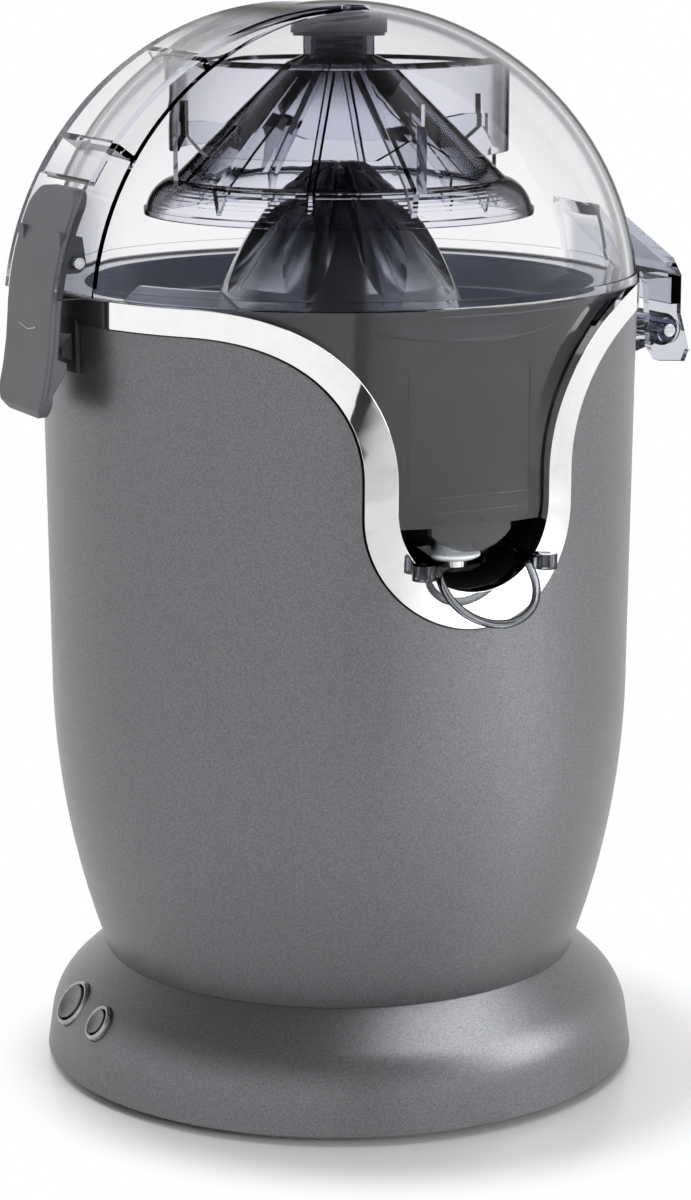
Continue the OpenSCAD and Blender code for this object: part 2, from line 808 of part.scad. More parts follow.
module base_shell() {
    start_hole = start_r + part_gap + bezel_wall + seat_gap;
    reset_hole = reset_r + part_gap + bezel_wall + seat_gap;
    color(paint) difference() {
        union() {
            spin() difference() {
                base_outline(0);
                intersection() {
                    base_outline(wall);
                    translate([0, -eps]) square([base_r, post_top + eps]);
                }
                translate([0, -eps]) square([duct_r, seam_z + 2 * eps]);
            }
            around(post_ring, post_angles) disc(post_r, plate_top, post_top + eps);
        }
        around(post_ring, post_angles) disc(hole_r, plate_top - eps, plate_top + screw_len + 3);
        around(post_ring, cross_angles) disc(hole_r, post_top - eps, seam_z + eps);
        at_button(1) cylinder(r = start_hole, h = 3 * bezel_len, center = true);
        at_button(-1) cylinder(r = reset_hole, h = 3 * bezel_len, center = true);
        translate([0, base_r, inlet_z]) y_rod(gland_r + seat_gap, 5 * wall);
    }
}

// Bottom plate with sunk screw holes, stud holes and a row of vent slots
module base_plate() {
    color(black) difference() {
        disc(plate_r, foot_h, plate_top);
        around(post_ring, post_angles) {
            disc(hole_r, foot_h - eps, plate_top + eps);
            disc(head_r + seat_gap, foot_h - eps, foot_h + head_t);
        }
        around(foot_mid, cross_angles) disc(stud_r + seat_gap, foot_h - eps, plate_top + eps);
        for (i = [-4 : 4]) translate([i * vent_pitch - vent_w / 2, -vent_len / 2, foot_h - eps])
            cube([vent_w, vent_len, plate_t + 2 * eps]);
    }
}

// Rubber ring held by four studs in the bottom plate
module foot_ring() {
    color(rubber) {
        ring(foot_mid - foot_w / 2, foot_mid + foot_w / 2, 0, foot_h);
        around(foot_mid, cross_angles) disc(stud_r, foot_h - eps, plate_top);
    }
}

module base_screws() {
    head_z = foot_h + head_t - 2 * seat_gap;
    color(steel) around(post_ring, post_angles) {
        disc(head_r, foot_h, head_z);
        disc(screw_r, head_z - eps, plate_top + screw_len);
    }
}

module body_screws() {
    color(steel) around(post_ring, cross_angles) {
        disc(head_r, post_top - head_t, post_top);
        disc(screw_r, post_top - eps, chassis_top + 1);
    }
}

module cord_gland() {
    len = gland_out + gland_in;
    color(rubber) translate([0, base_r, inlet_z]) difference() {
        union() {
            translate([0, (gland_out - gland_in) / 2, 0]) y_rod(gland_r, len);
            translate([0, gland_flange / 2 - gland_in, 0]) y_rod(gland_r + gland_flange, gland_flange);
        }
        y_rod(inlet_r, 3 * len);
    }
}

// Board with a relay, a capacitor and a plug strip
module control_board() {
    z = plate_top + board_lift;
    face = z + board_t;
    color(board) translate([0, -board_y, 0]) {
        translate([-board_w / 2, -board_d / 2, z]) cube([board_w, board_d, board_t]);
        for (x = [4 - board_w / 2, board_w / 2 - 4], y = [4 - board_d / 2, board_d / 2 - 4])
            translate([x, y, 0]) disc(2.5, plate_top, z + eps);
        translate([-20, -10, face - eps]) cube([16, 12, board_tall - 1]);
        translate([6, 0, 0]) disc(5, face - eps, face + board_tall);
        translate([18, -4, face - eps]) cube([5, 14, board_tall - 3]);
    }
}

// Bezel tube of a push button, with a rounded collar
module bezel(r) {
    bore = r + part_gap;
    outer = bore + bezel_wall;
    color(grey) spin() polygon([
        [bore, -bezel_len], [outer, -bezel_len], [outer, 0.4 * bezel_out],
        [outer - 0.3 * bezel_wall, bezel_out], [bore + 0.3 * bezel_wall, bezel_out],
        [bore, 0.6 * bezel_out]]);
}

// Button cap with a dished face and a stem
module button_cap(r) {
    top = button_travel - seat_gap;
    dish_r = 3 * r;
    color(steel) difference() {
        union() {
            disc(r, top - cap_h, top);
            disc(stem_r, -bezel_len - 0.5, top - cap_h + eps);
        }
        translate([0, 0, top + dish_r - cap_dish]) sphere(r = dish_r);
    }
}

// Switch block behind a bezel, with a bore for the stem
module switch_block(r) {
    color(black) difference() {
        disc(r + part_gap + bezel_wall, -bezel_len - switch_len, -bezel_len);
        disc(stem_r + run_gap, -bezel_len - 2 * button_travel - 1, -bezel_len + eps);
    }
}

module start_bezel() { at_button(1) bezel(start_r); }
module start_button() { at_button(1) button_cap(start_r); }
module start_switch() { at_button(1) switch_block(start_r); }
module reset_bezel() { at_button(-1) bezel(reset_r); }
module reset_button() { at_button(-1) button_cap(reset_r); }
module reset_switch() { at_button(-1) switch_block(reset_r); }

module body_shell() {
    color(paint) difference() {
        spin() body_section();
        front_cut(-far, trim_gap - trim_end_y) outer_mouth(trim_gap);
        translate([-far, -trim_end_y, trim_edge - seat_gap])
            cube([far, trim_end_y + catch_half + seat_gap, trim_top + 1]);
        around(post_ring, cross_angles) disc(hole_r, seam_z - eps, chassis_z + eps);
        for (s = [-1, 1]) translate([rim_r, s * hinge_screw_y, hinge_z]) x_rod(hole_r, 6 * wall);
    }
}

// Chrome frame of the opening, with a lip that turns inward
module chrome_trim() {
    low = mouth_low - 2;
    color(chrome) {
        intersection() {
            body_band(low, rim_z, -trim_sunk, trim_proud);
            front_cut(-far, -trim_end_y) difference() {
                outer_mouth(0);
                inner_mouth(0);
            }
        }
        intersection() {
            body_band(low, trim_edge - 1, -lip_depth, eps - trim_sunk);
            front_cut(-far, -trim_end_y) difference() {
                inner_mouth(lip_t);
                inner_mouth(0);
            }
        }
    }
}

// Outline of the tap niche up to a given height
module niche_outline(grow, top) {
    half = niche_half + grow;
    mid = mouth_in_low + niche_half;
    translate([0, mid]) circle(half);
    translate([-half, mid]) square([2 * half, top - mid]);
}

// Black inner pot with the spindle tower and the tap niche
module inner_liner() {
    rim_seat = rim_r - wall - part_gap;
    bore = bush_r + pin_gap;
    pin_gap_x = niche_half - tap_half - part_gap;
    color(black) difference() {
        union() {
            ring(liner_r - liner_wall, liner_r, deck_z - deck_t, seat_z);
            ring(liner_r - liner_wall, rim_seat, trim_edge, seat_z);
            ring(bore, liner_r, deck_z - deck_t, deck_z);
            ring(bore, tower_r, deck_z - deck_t, tower_top);
            intersection() {
                front_cut(-far, liner_wall - niche_back) niche_outline(liner_wall, deck_z - deck_t / 2);
                cylinder(r = liner_r - seat_gap, h = deck_z);
            }
        }
        difference() {
            front_cut(-far, -niche_back) niche_outline(0, deck_z + 2 * seat_gap);
            for (s = [-1, 1]) translate([s * (niche_half - pin_gap_x / 2), -tap_y, tap_z])
                x_rod(tap_pin_r + 2, pin_gap_x);
        }
        intersection() {
            front_cut(-far, -trim_end_y) inner_mouth(0);
            ring(liner_r - liner_wall - part_gap, rim_r, deck_z - part_gap, rim_z);
        }
        translate([0, -tap_y, tap_z]) x_rod(tap_pin_r + pin_gap, 3 * niche_half);
    }
}

// Black rim block with a plate and a wedge that the latch hooks under
module latch_catch() {
    face = body_r(catch_nose_z) + catch_plate_t;
    tip = face - catch_plate_t + catch_reach;
    color(black) {
        intersection() {
            body_band(trim_edge, rim_z - 2 * seat_gap, -wall, 0.9);
            translate([-far, -catch_half, 0]) cube([far, 2 * catch_half, far + rim_z]);
        }
        intersection() {
            body_band(trim_edge - catch_plate_h, trim_edge + 1, seat_gap / 2, catch_plate_t);
            translate([-far, -catch_plate_half, 0]) cube([far, 2 * catch_plate_half, far + rim_z]);
        }
        side_plate(2 * catch_plate_half - 4) polygon([
            [0.6 - face, catch_nose_z + 3.5], [-tip, catch_nose_z - 0.6],
            [-tip, catch_nose_z - 2.6], [0.6 - face, catch_nose_z - 3.6]]);
    }
}

// Bracket that carries the hinge pin between the lid ears
module hinge_bracket() {
    low = hinge_z - nose_r - 3.4;
    high = hinge_z + nose_r + 0.4;
    root = body_r(hinge_z) + bracket_t / 3;
    color(smoke) difference() {
        union() {
            intersection() {
                body_band(low, high, seat_gap / 2, bracket_t);
                translate([0, -bracket_half, 0]) cube([far, 2 * bracket_half, far + rim_z]);
            }
            side_plate(2 * bracket_half) polygon([
                [root, low], [hinge_x - 3, hinge_z - nose_r + 0.4], [hinge_x, hinge_z],
                [hinge_x - 2, hinge_z + nose_r - 0.5], [root, high]]);
            translate([hinge_x, 0, hinge_z]) y_rod(nose_r, 2 * bracket_half);
        }
        translate([hinge_x, 0, hinge_z]) y_rod(hinge_pin_r + pin_gap, far);
        for (s = [-1, 1]) translate([rim_r, s * hinge_screw_y, hinge_z]) {
            x_rod(hole_r, 6 * wall);
            translate([bracket_t + 4, 0, 0]) x_rod(head_r + seat_gap, 8);
        }
    }
}

module hinge_pin() {
    color(steel) translate([hinge_x, 0, hinge_z]) y_rod(hinge_pin_r, 2 * (ear_half + ear_boss) + 0.6);
}

module hinge_screws() {
    color(steel) for (s = [-1, 1]) translate([rim_r + bracket_t, s * hinge_screw_y, hinge_z]) {
        translate([eps - 4, 0, 0]) x_rod(screw_r, 8);
        translate([head_t / 2, 0, 0]) x_rod(head_r, head_t);
    }
}

module chassis_plate() {
    color(steel) difference() {
        disc(chassis_r, chassis_z, chassis_top);
        disc(0.75 * motor_r, chassis_z - eps, chassis_top + eps);
        around(post_ring, cross_angles) disc(hole_r, chassis_z - eps, chassis_top + eps);
    }
}

module lower_posts() {
    color(steel) around(frame_ring, frame_angles) disc(frame_post_r, chassis_top, gear_plate_z);
}

module upper_posts() {
    color(steel) around(frame_ring, frame_angles) disc(frame_post_r, gear_deck, deck_z - deck_t);
}

module motor_can() {
    color(steel) difference() {
        disc(motor_r, motor_low, gear_plate_z);
        disc(motor_r - can_wall, motor_low - eps, gear_plate_z - can_end);
        disc(shaft_r + run_gap, motor_low, gear_plate_z + eps);
        around(motor_screw_r, motor_screw_a) disc(hole_r, gear_plate_z - can_end - eps, gear_plate_z + eps);
    }
}

module motor_cap() {
    color(black) difference() {
        disc(motor_r - can_wall - seat_gap, motor_low, motor_low + can_cap);
        disc(shaft_r + run_gap, motor_low + can_cap / 4, motor_low + can_cap + eps);
    }
}

// Shaft with its commutator and armature
module motor_rotor() {
    low = motor_low + can_cap / 4 + 2 * seat_gap;
    brush_z = motor_low + can_cap + 3;
    core_z = brush_z + 9;
    color(steel) {
        disc(shaft_r, low, stage1_z + gear_face);
        disc(motor_r / 3, brush_z, core_z + eps);
        disc(motor_r - can_wall - rotor_gap, core_z, gear_plate_z - 3.5 * can_end);
    }
}

module motor_screws() {
    color(steel) around(motor_screw_r, motor_screw_a) {
        disc(screw_r, gear_plate_z - can_end, gear_deck + eps);
        disc(head_r, gear_deck, gear_deck + head_t);
    }
}

module gear_plate() {
    color(steel) difference() {
        union() {
            disc(chassis_r, gear_plate_z, gear_deck);
            translate([0, gear_centre, 0]) disc(idler_r + 2.5, gear_deck - eps, stage1_z - seat_gap);
        }
        disc(shaft_r + 3, gear_plate_z - eps, gear_deck + eps);
        translate([0, gear_centre, 0]) disc(idler_r + pin_gap, gear_plate_z - eps, stage1_z);
        around(motor_screw_r, motor_screw_a) disc(hole_r, gear_plate_z - eps, gear_deck + eps);
        around(cover_screw_r, cover_screw_a) disc(hole_r, gear_plate_z - eps, gear_deck + eps);
    }
}

module idler_pin() {
    color(steel) translate([0, gear_centre, 0]) disc(idler_r, gear_plate_z, cover_top - seat_gap);
}

// Involute flank: half angle of a tooth at radius p
function involute(a) = tan(a) * 180 / PI - a;
function tooth_half(n, p) =
    let (r = n * gear_m / 2, rb = r * cos(20))
    90 / n - backlash * 45 / (PI * r) + involute(20) - involute(acos(min(1, rb / p)));

// Gear outline: five points on each side of every tooth
module gear_outline(n, phase) {
    r = n * gear_m / 2;
    root = [r - 1.2 * gear_m, max(r * cos(20), r - 0.7 * gear_m)];
    radii = concat(root, [r, r + 0.45 * gear_m, r + 0.85 * gear_m]);
    polygon([for (i = [0 : n - 1], k = [0 : 9])
        let (j = k < 5 ? k : 9 - k, s = k < 5 ? -1 : 1)
        let (a = phase + i * 360 / n + s * tooth_half(n, radii[j]))
        radii[j] * [cos(a), sin(a)]]);
}

// Toothed disc between two heights
module gear(n, phase, z0, z1) {
    translate([0, 0, z0]) linear_extrude(z1 - z0) gear_outline(n, phase);
}

module motor_pinion() {
    color(brass) difference() {
        gear(small_teeth, 90, stage1_z, stage1_z + gear_face);
        disc(shaft_r + pin_gap, stage1_z - eps, stage1_z + gear_face + eps);
    }
}

// Large and small gear in one piece
module compound_gear() {
    step = stage1_z + gear_face - 1;
    top = stage2_z + gear_face + 1;
    color(white) translate([0, gear_centre, 0]) difference() {
        union() {
            gear(large_teeth, 270 - 180 / large_teeth, stage1_z, step);
            gear(small_teeth, 270 - 180 / small_teeth, step - eps, top);
        }
        disc(idler_r + run_gap, stage1_z - eps, top + eps);
    }
}

// Last gear, in whose hexagonal bore the spindle slides
module output_gear() {
    color(white) difference() {
        union() {
            gear(large_teeth, 90, stage2_z, stage2_z + gear_face);
            disc(output_hub_r, stage2_z, output_top);
        }
        translate([0, 0, stage2_z - eps]) cylinder(r = spindle_r + 3 * run_gap, h = far, $fn = 6);
    }
}

module output_bush() {
    color(brass) ring(output_hub_r + run_gap, output_bush_r, cover_top - 2, output_top - 1);
}

// Slot shape round both gear axes
module cover_outline(r) {
    circle(r);
    translate([0, gear_centre]) circle(r);
    translate([-r, 0]) square([2 * r, gear_centre]);
}

module gear_cover() {
    foot_r = head_r + 1.5;
    foot_top = gear_deck + cover_foot;
    color(black) difference() {
        union() {
            translate([0, 0, gear_deck])
                linear_extrude(cover_top + cover_wall - gear_deck) cover_outline(cover_r);
            disc(output_collar_r, cover_top, output_top);
            around(cover_screw_r, cover_screw_a) disc(foot_r, gear_deck, foot_top);
            for (a = cover_screw_a) rotate([0, 0, a])
                translate([cover_r - cover_wall / 2, 0.5 - foot_r, gear_deck])
                    cube([cover_screw_r - cover_r + cover_wall / 2, 2 * foot_r - 1, cover_foot]);
        }
        translate([0, 0, gear_deck - eps]) linear_extrude(cover_top - gear_deck) cover_outline(cover_in_r);
        disc(output_bush_r + pin_gap, cover_top - 2 * eps, output_top + eps);
        around(cover_screw_r, cover_screw_a) disc(hole_r, gear_deck - eps, foot_top + eps);
    }
}

module cover_screws() {
    color(steel) around(cover_screw_r, cover_screw_a) {
        disc(screw_r, gear_plate_z, gear_deck + cover_foot + eps);
        disc(head_r, gear_deck + cover_foot, gear_deck + cover_foot + head_t);
    }
}

module lift_nut() {
    color(brass) difference() {
        union() {
            disc(output_collar_r, output_top, nut_z + 2);
            disc(spindle_r + nut_wall, nut_z, nut_z + nut_h);
        }
        disc(output_hub_r + part_gap, output_top - eps, nut_z - 2 * seat_gap);
        disc(spindle_r + run_gap, output_top - eps, nut_z + nut_h + eps);
    }
}

// Spindle with a hexagonal end that stays in its gear at full lift
module spindle() {
    low = output_top - reamer_lift - hex_grip;
    hex_top = output_top + 2 * seat_gap;
    color(steel) {
        translate([0, 0, low]) cylinder(r = spindle_r, h = hex_top - low, $fn = 6);
        disc(spindle_r, hex_top - eps, spindle_top);
    }
}

module spindle_bush() {
    color(brass) ring(spindle_r + run_gap, bush_r, deck_z - deck_t, tower_top - 2 * seat_gap);
}

module shaft_seal() {
    color(rubber) ring(spindle_r + run_gap, tower_r, tower_top, tower_top + seal_t);
}

// Outline of the collector front face, with its drip tab
module bib_outline() {
    intersection() {
        inner_mouth(-bib_gap);
        translate([-far, bib_low]) square([2 * far, seat_z + bowl_flange_t - bib_low]);
    }
    intersection() {
        translate([-tab_half, tab_low]) square([2 * tab_half, bib_low - tab_low + eps]);
        translate([0, tab_low + tab_round]) circle(tab_round);
    }
}

// Finger tab: an upright strip with slanted ends
module finger_tab() {
    top = seat_z + bowl_flange_t + finger_tab_h;
    end = finger_half - 1.3 * finger_tab_h;
    intersection() {
        ring(bowl_flange_r - 2.4, bowl_flange_r - 0.6, seat_z, top);
        front_cut(-far, 0) polygon([
            [-finger_half, seat_z], [finger_half, seat_z], [finger_half, seat_z + bowl_flange_t],
            [end, top], [-end, top], [-finger_half, seat_z + bowl_flange_t]]);
    }
}

// Bowl with its chimney, a sump behind the front face, and the outlet tube
module collector() {
    bowl_in = bowl_r - bowl_wall;
    floor_low = bowl_floor - bowl_wall;
    flange_top = seat_z + bowl_flange_t;
    ledge_z = strainer_z - strainer_rim;
    sump_front = bib_r - bowl_wall;
    sump_in = sump_half - bowl_wall;
    sump_low = bib_low + bowl_wall;
    sump_top = rim_z - bowl_flange_t - 3;
    color(smoke) difference() {
        union() {
            ring(bowl_in, bowl_flange_r, seat_z, flange_top);
            ring(bowl_in, bowl_r, floor_low, seat_z + eps);
            ring(chimney_r - bowl_wall, bowl_r, floor_low, bowl_floor);
            ring(chimney_r - bowl_wall, chimney_r, floor_low, tower_top + 1);
            ring(bowl_in - 2, bowl_in + eps, ledge_z - 2, ledge_z);
            intersection() {
                ring(sump_front, bib_r, tab_low - 1, flange_top);
                front_cut(-far, -trim_end_y) bib_outline();
            }
            intersection() {
                translate([-sump_half, -far, bib_low])
                    cube([2 * sump_half, far - sump_back, bowl_floor - bib_low]);
                cylinder(r = sump_front + eps, h = far + rim_z);
            }
            translate([0, -outlet_y, 0]) disc(outlet_r, outlet_low, bib_low + eps);
            for (a = [-finger_turn, finger_turn]) rotate([0, 0, a]) finger_tab();
        }
        intersection() {
            translate([-sump_in, -far, sump_low])
                cube([2 * sump_in, far - sump_back - bowl_wall, sump_top - sump_low]);
            cylinder(r = sump_front, h = far + rim_z);
        }
        translate([0, -outlet_y, 0]) disc(outlet_r - outlet_wall, outlet_low - eps, sump_low + 10);
    }
}

// Slotted dish that rests on the ledge of the bowl
module strainer() {
    rim_out = bowl_r - bowl_wall - part_gap;
    dish_r = rim_out - 3;
    low = strainer_z - strainer_dish;
    under = low - strainer_wall;
    hole = chimney_r + part_gap;
    color(smoke) difference() {
        union() {
            ring(dish_r - strainer_wall, rim_out, strainer_z - strainer_rim, strainer_z);
            ring(dish_r - strainer_wall, dish_r, under, strainer_z - strainer_rim + 0.5);
            ring(hole, dish_r, under, low);
            ring(hole, hole + 2, under, low + 2);
        }
        for (i = [0 : strainer_slots - 1]) rotate([0, 0, (i + 0.5) * 360 / strainer_slots])
            translate([hole + 6, -slot_w / 2, under - 1])
                cube([dish_r - hole - 12, slot_w, strainer_wall + 2]);
    }
}

// One flute of the reamer: a cone laid on the slope
module flute() {
    cone = asin((flute_r - flute_tip_r) / flute_len);
    axis = flute_d * cos(cone) + flute_n * sin(cone);
    side = flute_n * cos(cone) - flute_d * sin(cone);
    at = flute_a + flute_tip_r * side;
    before = 3;
    after = 5;
    translate([at[0], 0, at[1]]) rotate([0, atan2(axis[0], axis[1]), 0]) translate([0, 0, -before])
        cylinder(r1 = flute_tip_r - before * tan(cone), r2 = flute_r + after * tan(cone),
                 h = flute_len * cos(cone) + before + after);
}

// Hollow fluted cone that the fruit is pressed on
module reamer() {
    crest = [for (i = [0 : reamer_steps])
        let (r = reamer_r * i / reamer_steps)
        [r, reamer_at(r)]];
    bend = reamer_low + 6;
    color(smoke) difference() {
        spin() polygon(concat(crest, [[0, reamer_low]]));
        spin() polygon([
            [0, hub_top], [reamer_in(hub_top), hub_top], [reamer_in(bend), bend],
            [reamer_r - 2.4, reamer_low - eps], [0, reamer_low - eps]]);
        for (i = [0 : ridge_count - 1]) rotate([0, 0, i * 360 / ridge_count]) flute();
    }
}

module reamer_hub() {
    top = hub_top - seat_gap / 2;
    color(black) difference() {
        spin() polygon([[0, hub_low], [hub_r + 1.5, hub_low], [hub_r, hub_low + 4], [hub_r, top], [0, top]]);
        disc(spindle_r + pin_gap, hub_low - eps, spindle_top + 2 * seat_gap);
    }
}

// Side view of a lid ear: gusset from dome to pin, with a flared foot
module ear_outline() {
    translate([hinge_x, hinge_z]) polygon([
        [-20, 37.2], [1.5, 20.4], [4.2, 15.5], [4.2, 4.5], [7.2, -6], [5.8, -9.2],
        [-2.8, -8.6], [-5.6, -4.5], [-6.8, 13.5], [-9, 17], [-17, 19.2], [-21, 24]]);
}

// Side view of the outer skin and the shelf that join the two ears
module ear_skin_outline() {
    translate([hinge_x, hinge_z]) polygon([
        [-20, 37.2], [1.5, 20.4], [4.2, 15.5], [4.2, 7], [2.2, 7], [2.2, 15], [0.2, 18.6], [-20, 34.4]]);
    translate([hinge_x, hinge_z]) polygon([[-8.7, 16.4], [-7.4, 14.6], [3.6, 14.6], [3.6, 16.4]]);
}

// Side view of a cross wall in the crest, square to the crest outline
module rung_outline(a) {
    translate([-crest_x, crest_z]) rotate(180 - a)
        translate([crest_r - 14, -rung_t / 2]) square([13, rung_t]);
}

// Half disc about the centre of the dome, cut off below, to be revolved
module dome_outline(r, low) {
    intersection() {
        translate([0, dome_z]) circle(r, $fn = 180);
        translate([0, low]) square([2 * r, 2 * r]);
    }
}

// Side view of the crest, set off towards the latch
module crest_outline(r) {
    translate([-crest_x, crest_z]) circle(r, $fn = 180);
}

// Clear dome with the hollow crest and the hinge ears
module lid_dome() {
    window = [far - latch_pin_x + 5, 2 * crest_in, rim_z + window_h - lid_low + 1];
    color(clear) difference() {
        union() {
            spin() dome_outline(dome_r, lid_low);
            ring(dome_in - 2, bead_r, lid_low, lid_low + bead_h);
            intersection() {
                side_plate(2 * crest_half) crest_outline(crest_r);
                translate([-far, -far, lid_low]) cube([far, 2 * far, far]);
            }
            for (s = [-1, 1]) {
                translate([0, s * (ear_half - ear_t / 2), 0]) side_plate(ear_t) ear_outline();
                translate([hinge_x, s * (ear_half + ear_boss / 2), hinge_z])
                    y_rod(2 * hinge_pin_r, ear_boss + eps);
            }
            side_plate(2 * ear_half - eps) ear_skin_outline();
        }
        spin() dome_outline(dome_in, lid_low - 1);
        difference() {
            intersection() {
                side_plate(2 * crest_in) crest_outline(crest_r - crest_wall);
                translate([-far, -far, lid_low - 1]) cube([far - 2, 2 * far, far]);
            }
            spin() dome_outline(dome_r, dome_z - dome_r);
            for (a = rung_angles) side_plate(far) rung_outline(a);
        }
        translate([-far, -crest_in, lid_low - 1]) difference() {
            cube(window);
            translate([far, crest_in, dome_z - lid_low + 1]) sphere(r = dome_r, $fn = 180);
        }
        translate([-latch_pin_x, 0, latch_z]) y_rod(latch_pin_r + pin_gap, 3 * crest_half);
        translate([hinge_x, 0, hinge_z]) y_rod(hinge_pin_r + run_gap, 3 * ear_half);
        disc(hole_r, dome_top - eps, dome_top + lid_wall / 2);
    }
}

// Ring that the press slides in, with a flared notch for each guide rib
module press_guide() {
    half = guide_rib_t / 2 + part_gap;
    top = guide_z + guide_rib_h + press_travel + 1.5;
    color(clear) difference() {
        intersection() {
            ring(guide_r - press_wall, guide_r, guide_z, dome_top);
            translate([0, 0, dome_z]) sphere(r = dome_in - pin_gap, $fn = 180);
        }
        for (i = [0 : guide_ribs - 1]) rotate([0, 0, i * 360 / guide_ribs])
            front_cut(-guide_r - 1, 3 * press_wall - guide_r) polygon([
                [-half, top], [half, top], [half, guide_z + notch_rise], [half + notch_flare, guide_z - eps],
                [-half - notch_flare, guide_z - eps], [-half, guide_z + notch_rise]]);
    }
}

module press_hub() {
    color(grey) difference() {
        intersection() {
            ring(neck_r + 2 * run_gap, press_hub_r, press_hub_z, dome_top);
            translate([0, 0, dome_z]) sphere(r = dome_in - pin_gap, $fn = 180);
        }
        ring(press_hub_r - 0.6, press_hub_r + 1, press_hub_z - eps, press_hub_z + 0.8);
    }
}

// Blades drawn in (radius, height), spread round the spindle axis
module blades(count, turn, t) {
    for (i = [0 : count - 1]) rotate([0, 0, i * 360 / count + turn])
        rotate([90, 0, 0]) linear_extrude(t, center = true) children();
}

// Bell-shaped press with gripping blades inside and guide ribs outside
module press_cone() {
    outer = bell(bell_r);
    inner = bell(bell_r - press_wall);
    edge_in = skirt_r - press_wall - skirt_bead;
    edge_z = skirt_z + skirt_edge;
    neck = [
        [press_bore, cone_top], [neck_in, cone_top], [neck_in, neck_top], [neck_r, neck_top],
        [neck_r, cone_top + 0.5], [neck_r + 4.4, cone_top - 1.5]];
    rim = [
        [skirt_r + skirt_bead, edge_z], [skirt_r + skirt_bead, skirt_z],
        [edge_in, skirt_z], [edge_in, edge_z]];
    plate = [
        [neck_r + 3, cone_top - 3.4], [press_head_r + 1, cone_top - neck_plate],
        [press_bore, cone_top - neck_plate]];
    rib_top = guide_z + guide_rib_h;
    color(clear) {
        spin() polygon(concat(neck, [for (i = [bell_steps : -1 : 0]) outer[i]], rim, inner, plate));
        blades(grip_ribs, 180 / grip_ribs, grip_rib_t) polygon([
            [neck_r + 3.4, cone_top - 3], bell_tip + [0.4, 0.7], [bell_tip[0] - 1, skirt_z + 1.6],
            [bell_tip[0] - 5, skirt_z + 8.6], [neck_r, cone_top - 5]]);
        blades(guide_ribs, -90, guide_rib_t) polygon([
            [guide_r + 2, skirt_z + 7.8], [guide_r + 2, rib_top], [guide_r - 7, rib_top],
            [guide_r - 16, rib_top - 1.4], [guide_r - 5.5, skirt_z + 12]]);
    }
}

module press_spring() {
    m = spring_sides;
    n = spring_count;
    echo(least_spring_gap = spring_gap);
    points = [for (i = [0 : n]) each coil_ring(i)];
    quads = [for (i = [0 : n - 1], k = [0 : m - 1])
        [i * m + k, i * m + (k + 1) % m, (i + 1) * m + (k + 1) % m, (i + 1) * m + k]];
    sides = [for (q = quads) each [[q[1], q[2], q[0]], [q[2], q[3], q[0]]]];
    ends = [for (k = [1 : m - 2]) each [[k + 1, k, 0], [n * m + k, n * m + k + 1, n * m]]];
    color(steel) polyhedron(points, concat(sides, ends));
}

module press_screw() {
    head_z = cone_top - neck_plate - seat_gap;
    color(steel) {
        disc(press_head_r, head_z - press_head_t, head_z);
        disc(screw_r, head_z - eps, dome_top + 0.35 * lid_wall);
    }
}

// Side view of the latch: bowed plate with a flared foot and a hook
module latch_outline() {
    hook_z = catch_nose_z - 4.2;
    nose = -(body_r(catch_nose_z) + catch_reach + latch_play);
    inner = [for (i = [0 : latch_steps])
        let (z = latch_bend + (latch_top - latch_bend) * i / latch_steps)
        [crest_at(z, latch_t), z]];
    hook = [
        [latch_foot_x - 1.8, latch_low + 0.3], [latch_foot_x + 0.2, latch_low + 0.6],
        [latch_foot_x + 0.6, latch_bend - 0.73 * latch_drop], [nose, hook_z - 1.6],
        [nose, hook_z + 0.6], [latch_foot_x + 2.2, hook_z + 1.6]];
    polygon(concat(latch_front, hook, inner));
}

// Side view of the wider front layer of the latch
module latch_skin_outline() {
    last = len(latch_front) - 1;
    polygon(concat(latch_front, [for (i = [last : -1 : 0]) latch_front[i] + [latch_t / 2, 0]]));
}

// Side view of a lug round the latch pin
module lug_outline() {
    root = crest_at(latch_z, 1) + latch_pin_x;
    translate([-latch_pin_x, latch_z]) {
        circle(lug_r);
        polygon([[root, 2.7 * lug_r], [0.7 * lug_r, 2.2 * lug_r], [lug_r, 0], [0, -lug_r], [root, -lug_r]]);
    }
}

// Front view of the latch: a plate with round corners
module latch_face() {
    half = latch_w / 2;
    r = latch_round;
    translate([-half, r - latch_len]) square([latch_w, latch_len - 2 * r]);
    translate([r - half, -latch_len]) square([latch_w - 2 * r, latch_len]);
    for (y = [r - half, half - r], z = [-r, r - latch_len]) translate([y, z]) circle(r);
}

module latch_lever() {
    color(grey) difference() {
        intersection() {
            union() {
                side_plate(latch_w - 2 * latch_step) latch_outline();
                side_plate(latch_w) latch_skin_outline();
                for (y = [lug_y, -lug_y]) translate([0, y, 0]) side_plate(lug_t) lug_outline();
            }
            translate([-far, 0, latch_top]) rotate([90, 0, 90]) linear_extrude(far) latch_face();
        }
        translate([-latch_pin_x, 0, latch_z]) y_rod(latch_pin_r + run_gap, 2 * latch_w);
    }
}

module latch_pin() {
    color(steel) translate([-latch_pin_x, 0, latch_z]) y_rod(latch_pin_r, 2 * crest_half - 0.2);
}

// One arm of the tap with the ring round its pin
module tap_arm() {
    depth_plate(tap_arm_t) translate([-tap_y, tap_z]) {
        rotate(180 + tap_slope) translate([0, -tap_arm_h / 2]) square([tap_arm_len, tap_arm_h]);
        circle(tap_pin_r + 1.6);
    }
}

// Eyelet boss beside the end of an arm
module tap_eyelet() {
    reach = eyelet_r + 1.4;
    translate([0, arm_end[0] - 0.6, arm_end[1]]) difference() {
        union() {
            translate([reach, 0, 0]) cylinder(r = eyelet_r, h = eyelet_h, center = true);
            translate([reach / 2, 0, 0]) cube([reach, 3.2, 0.7 * eyelet_h], center = true);
        }
        translate([reach, 0, 0]) cylinder(r = eyelet_hole, h = 2 * eyelet_h, center = true);
    }
}

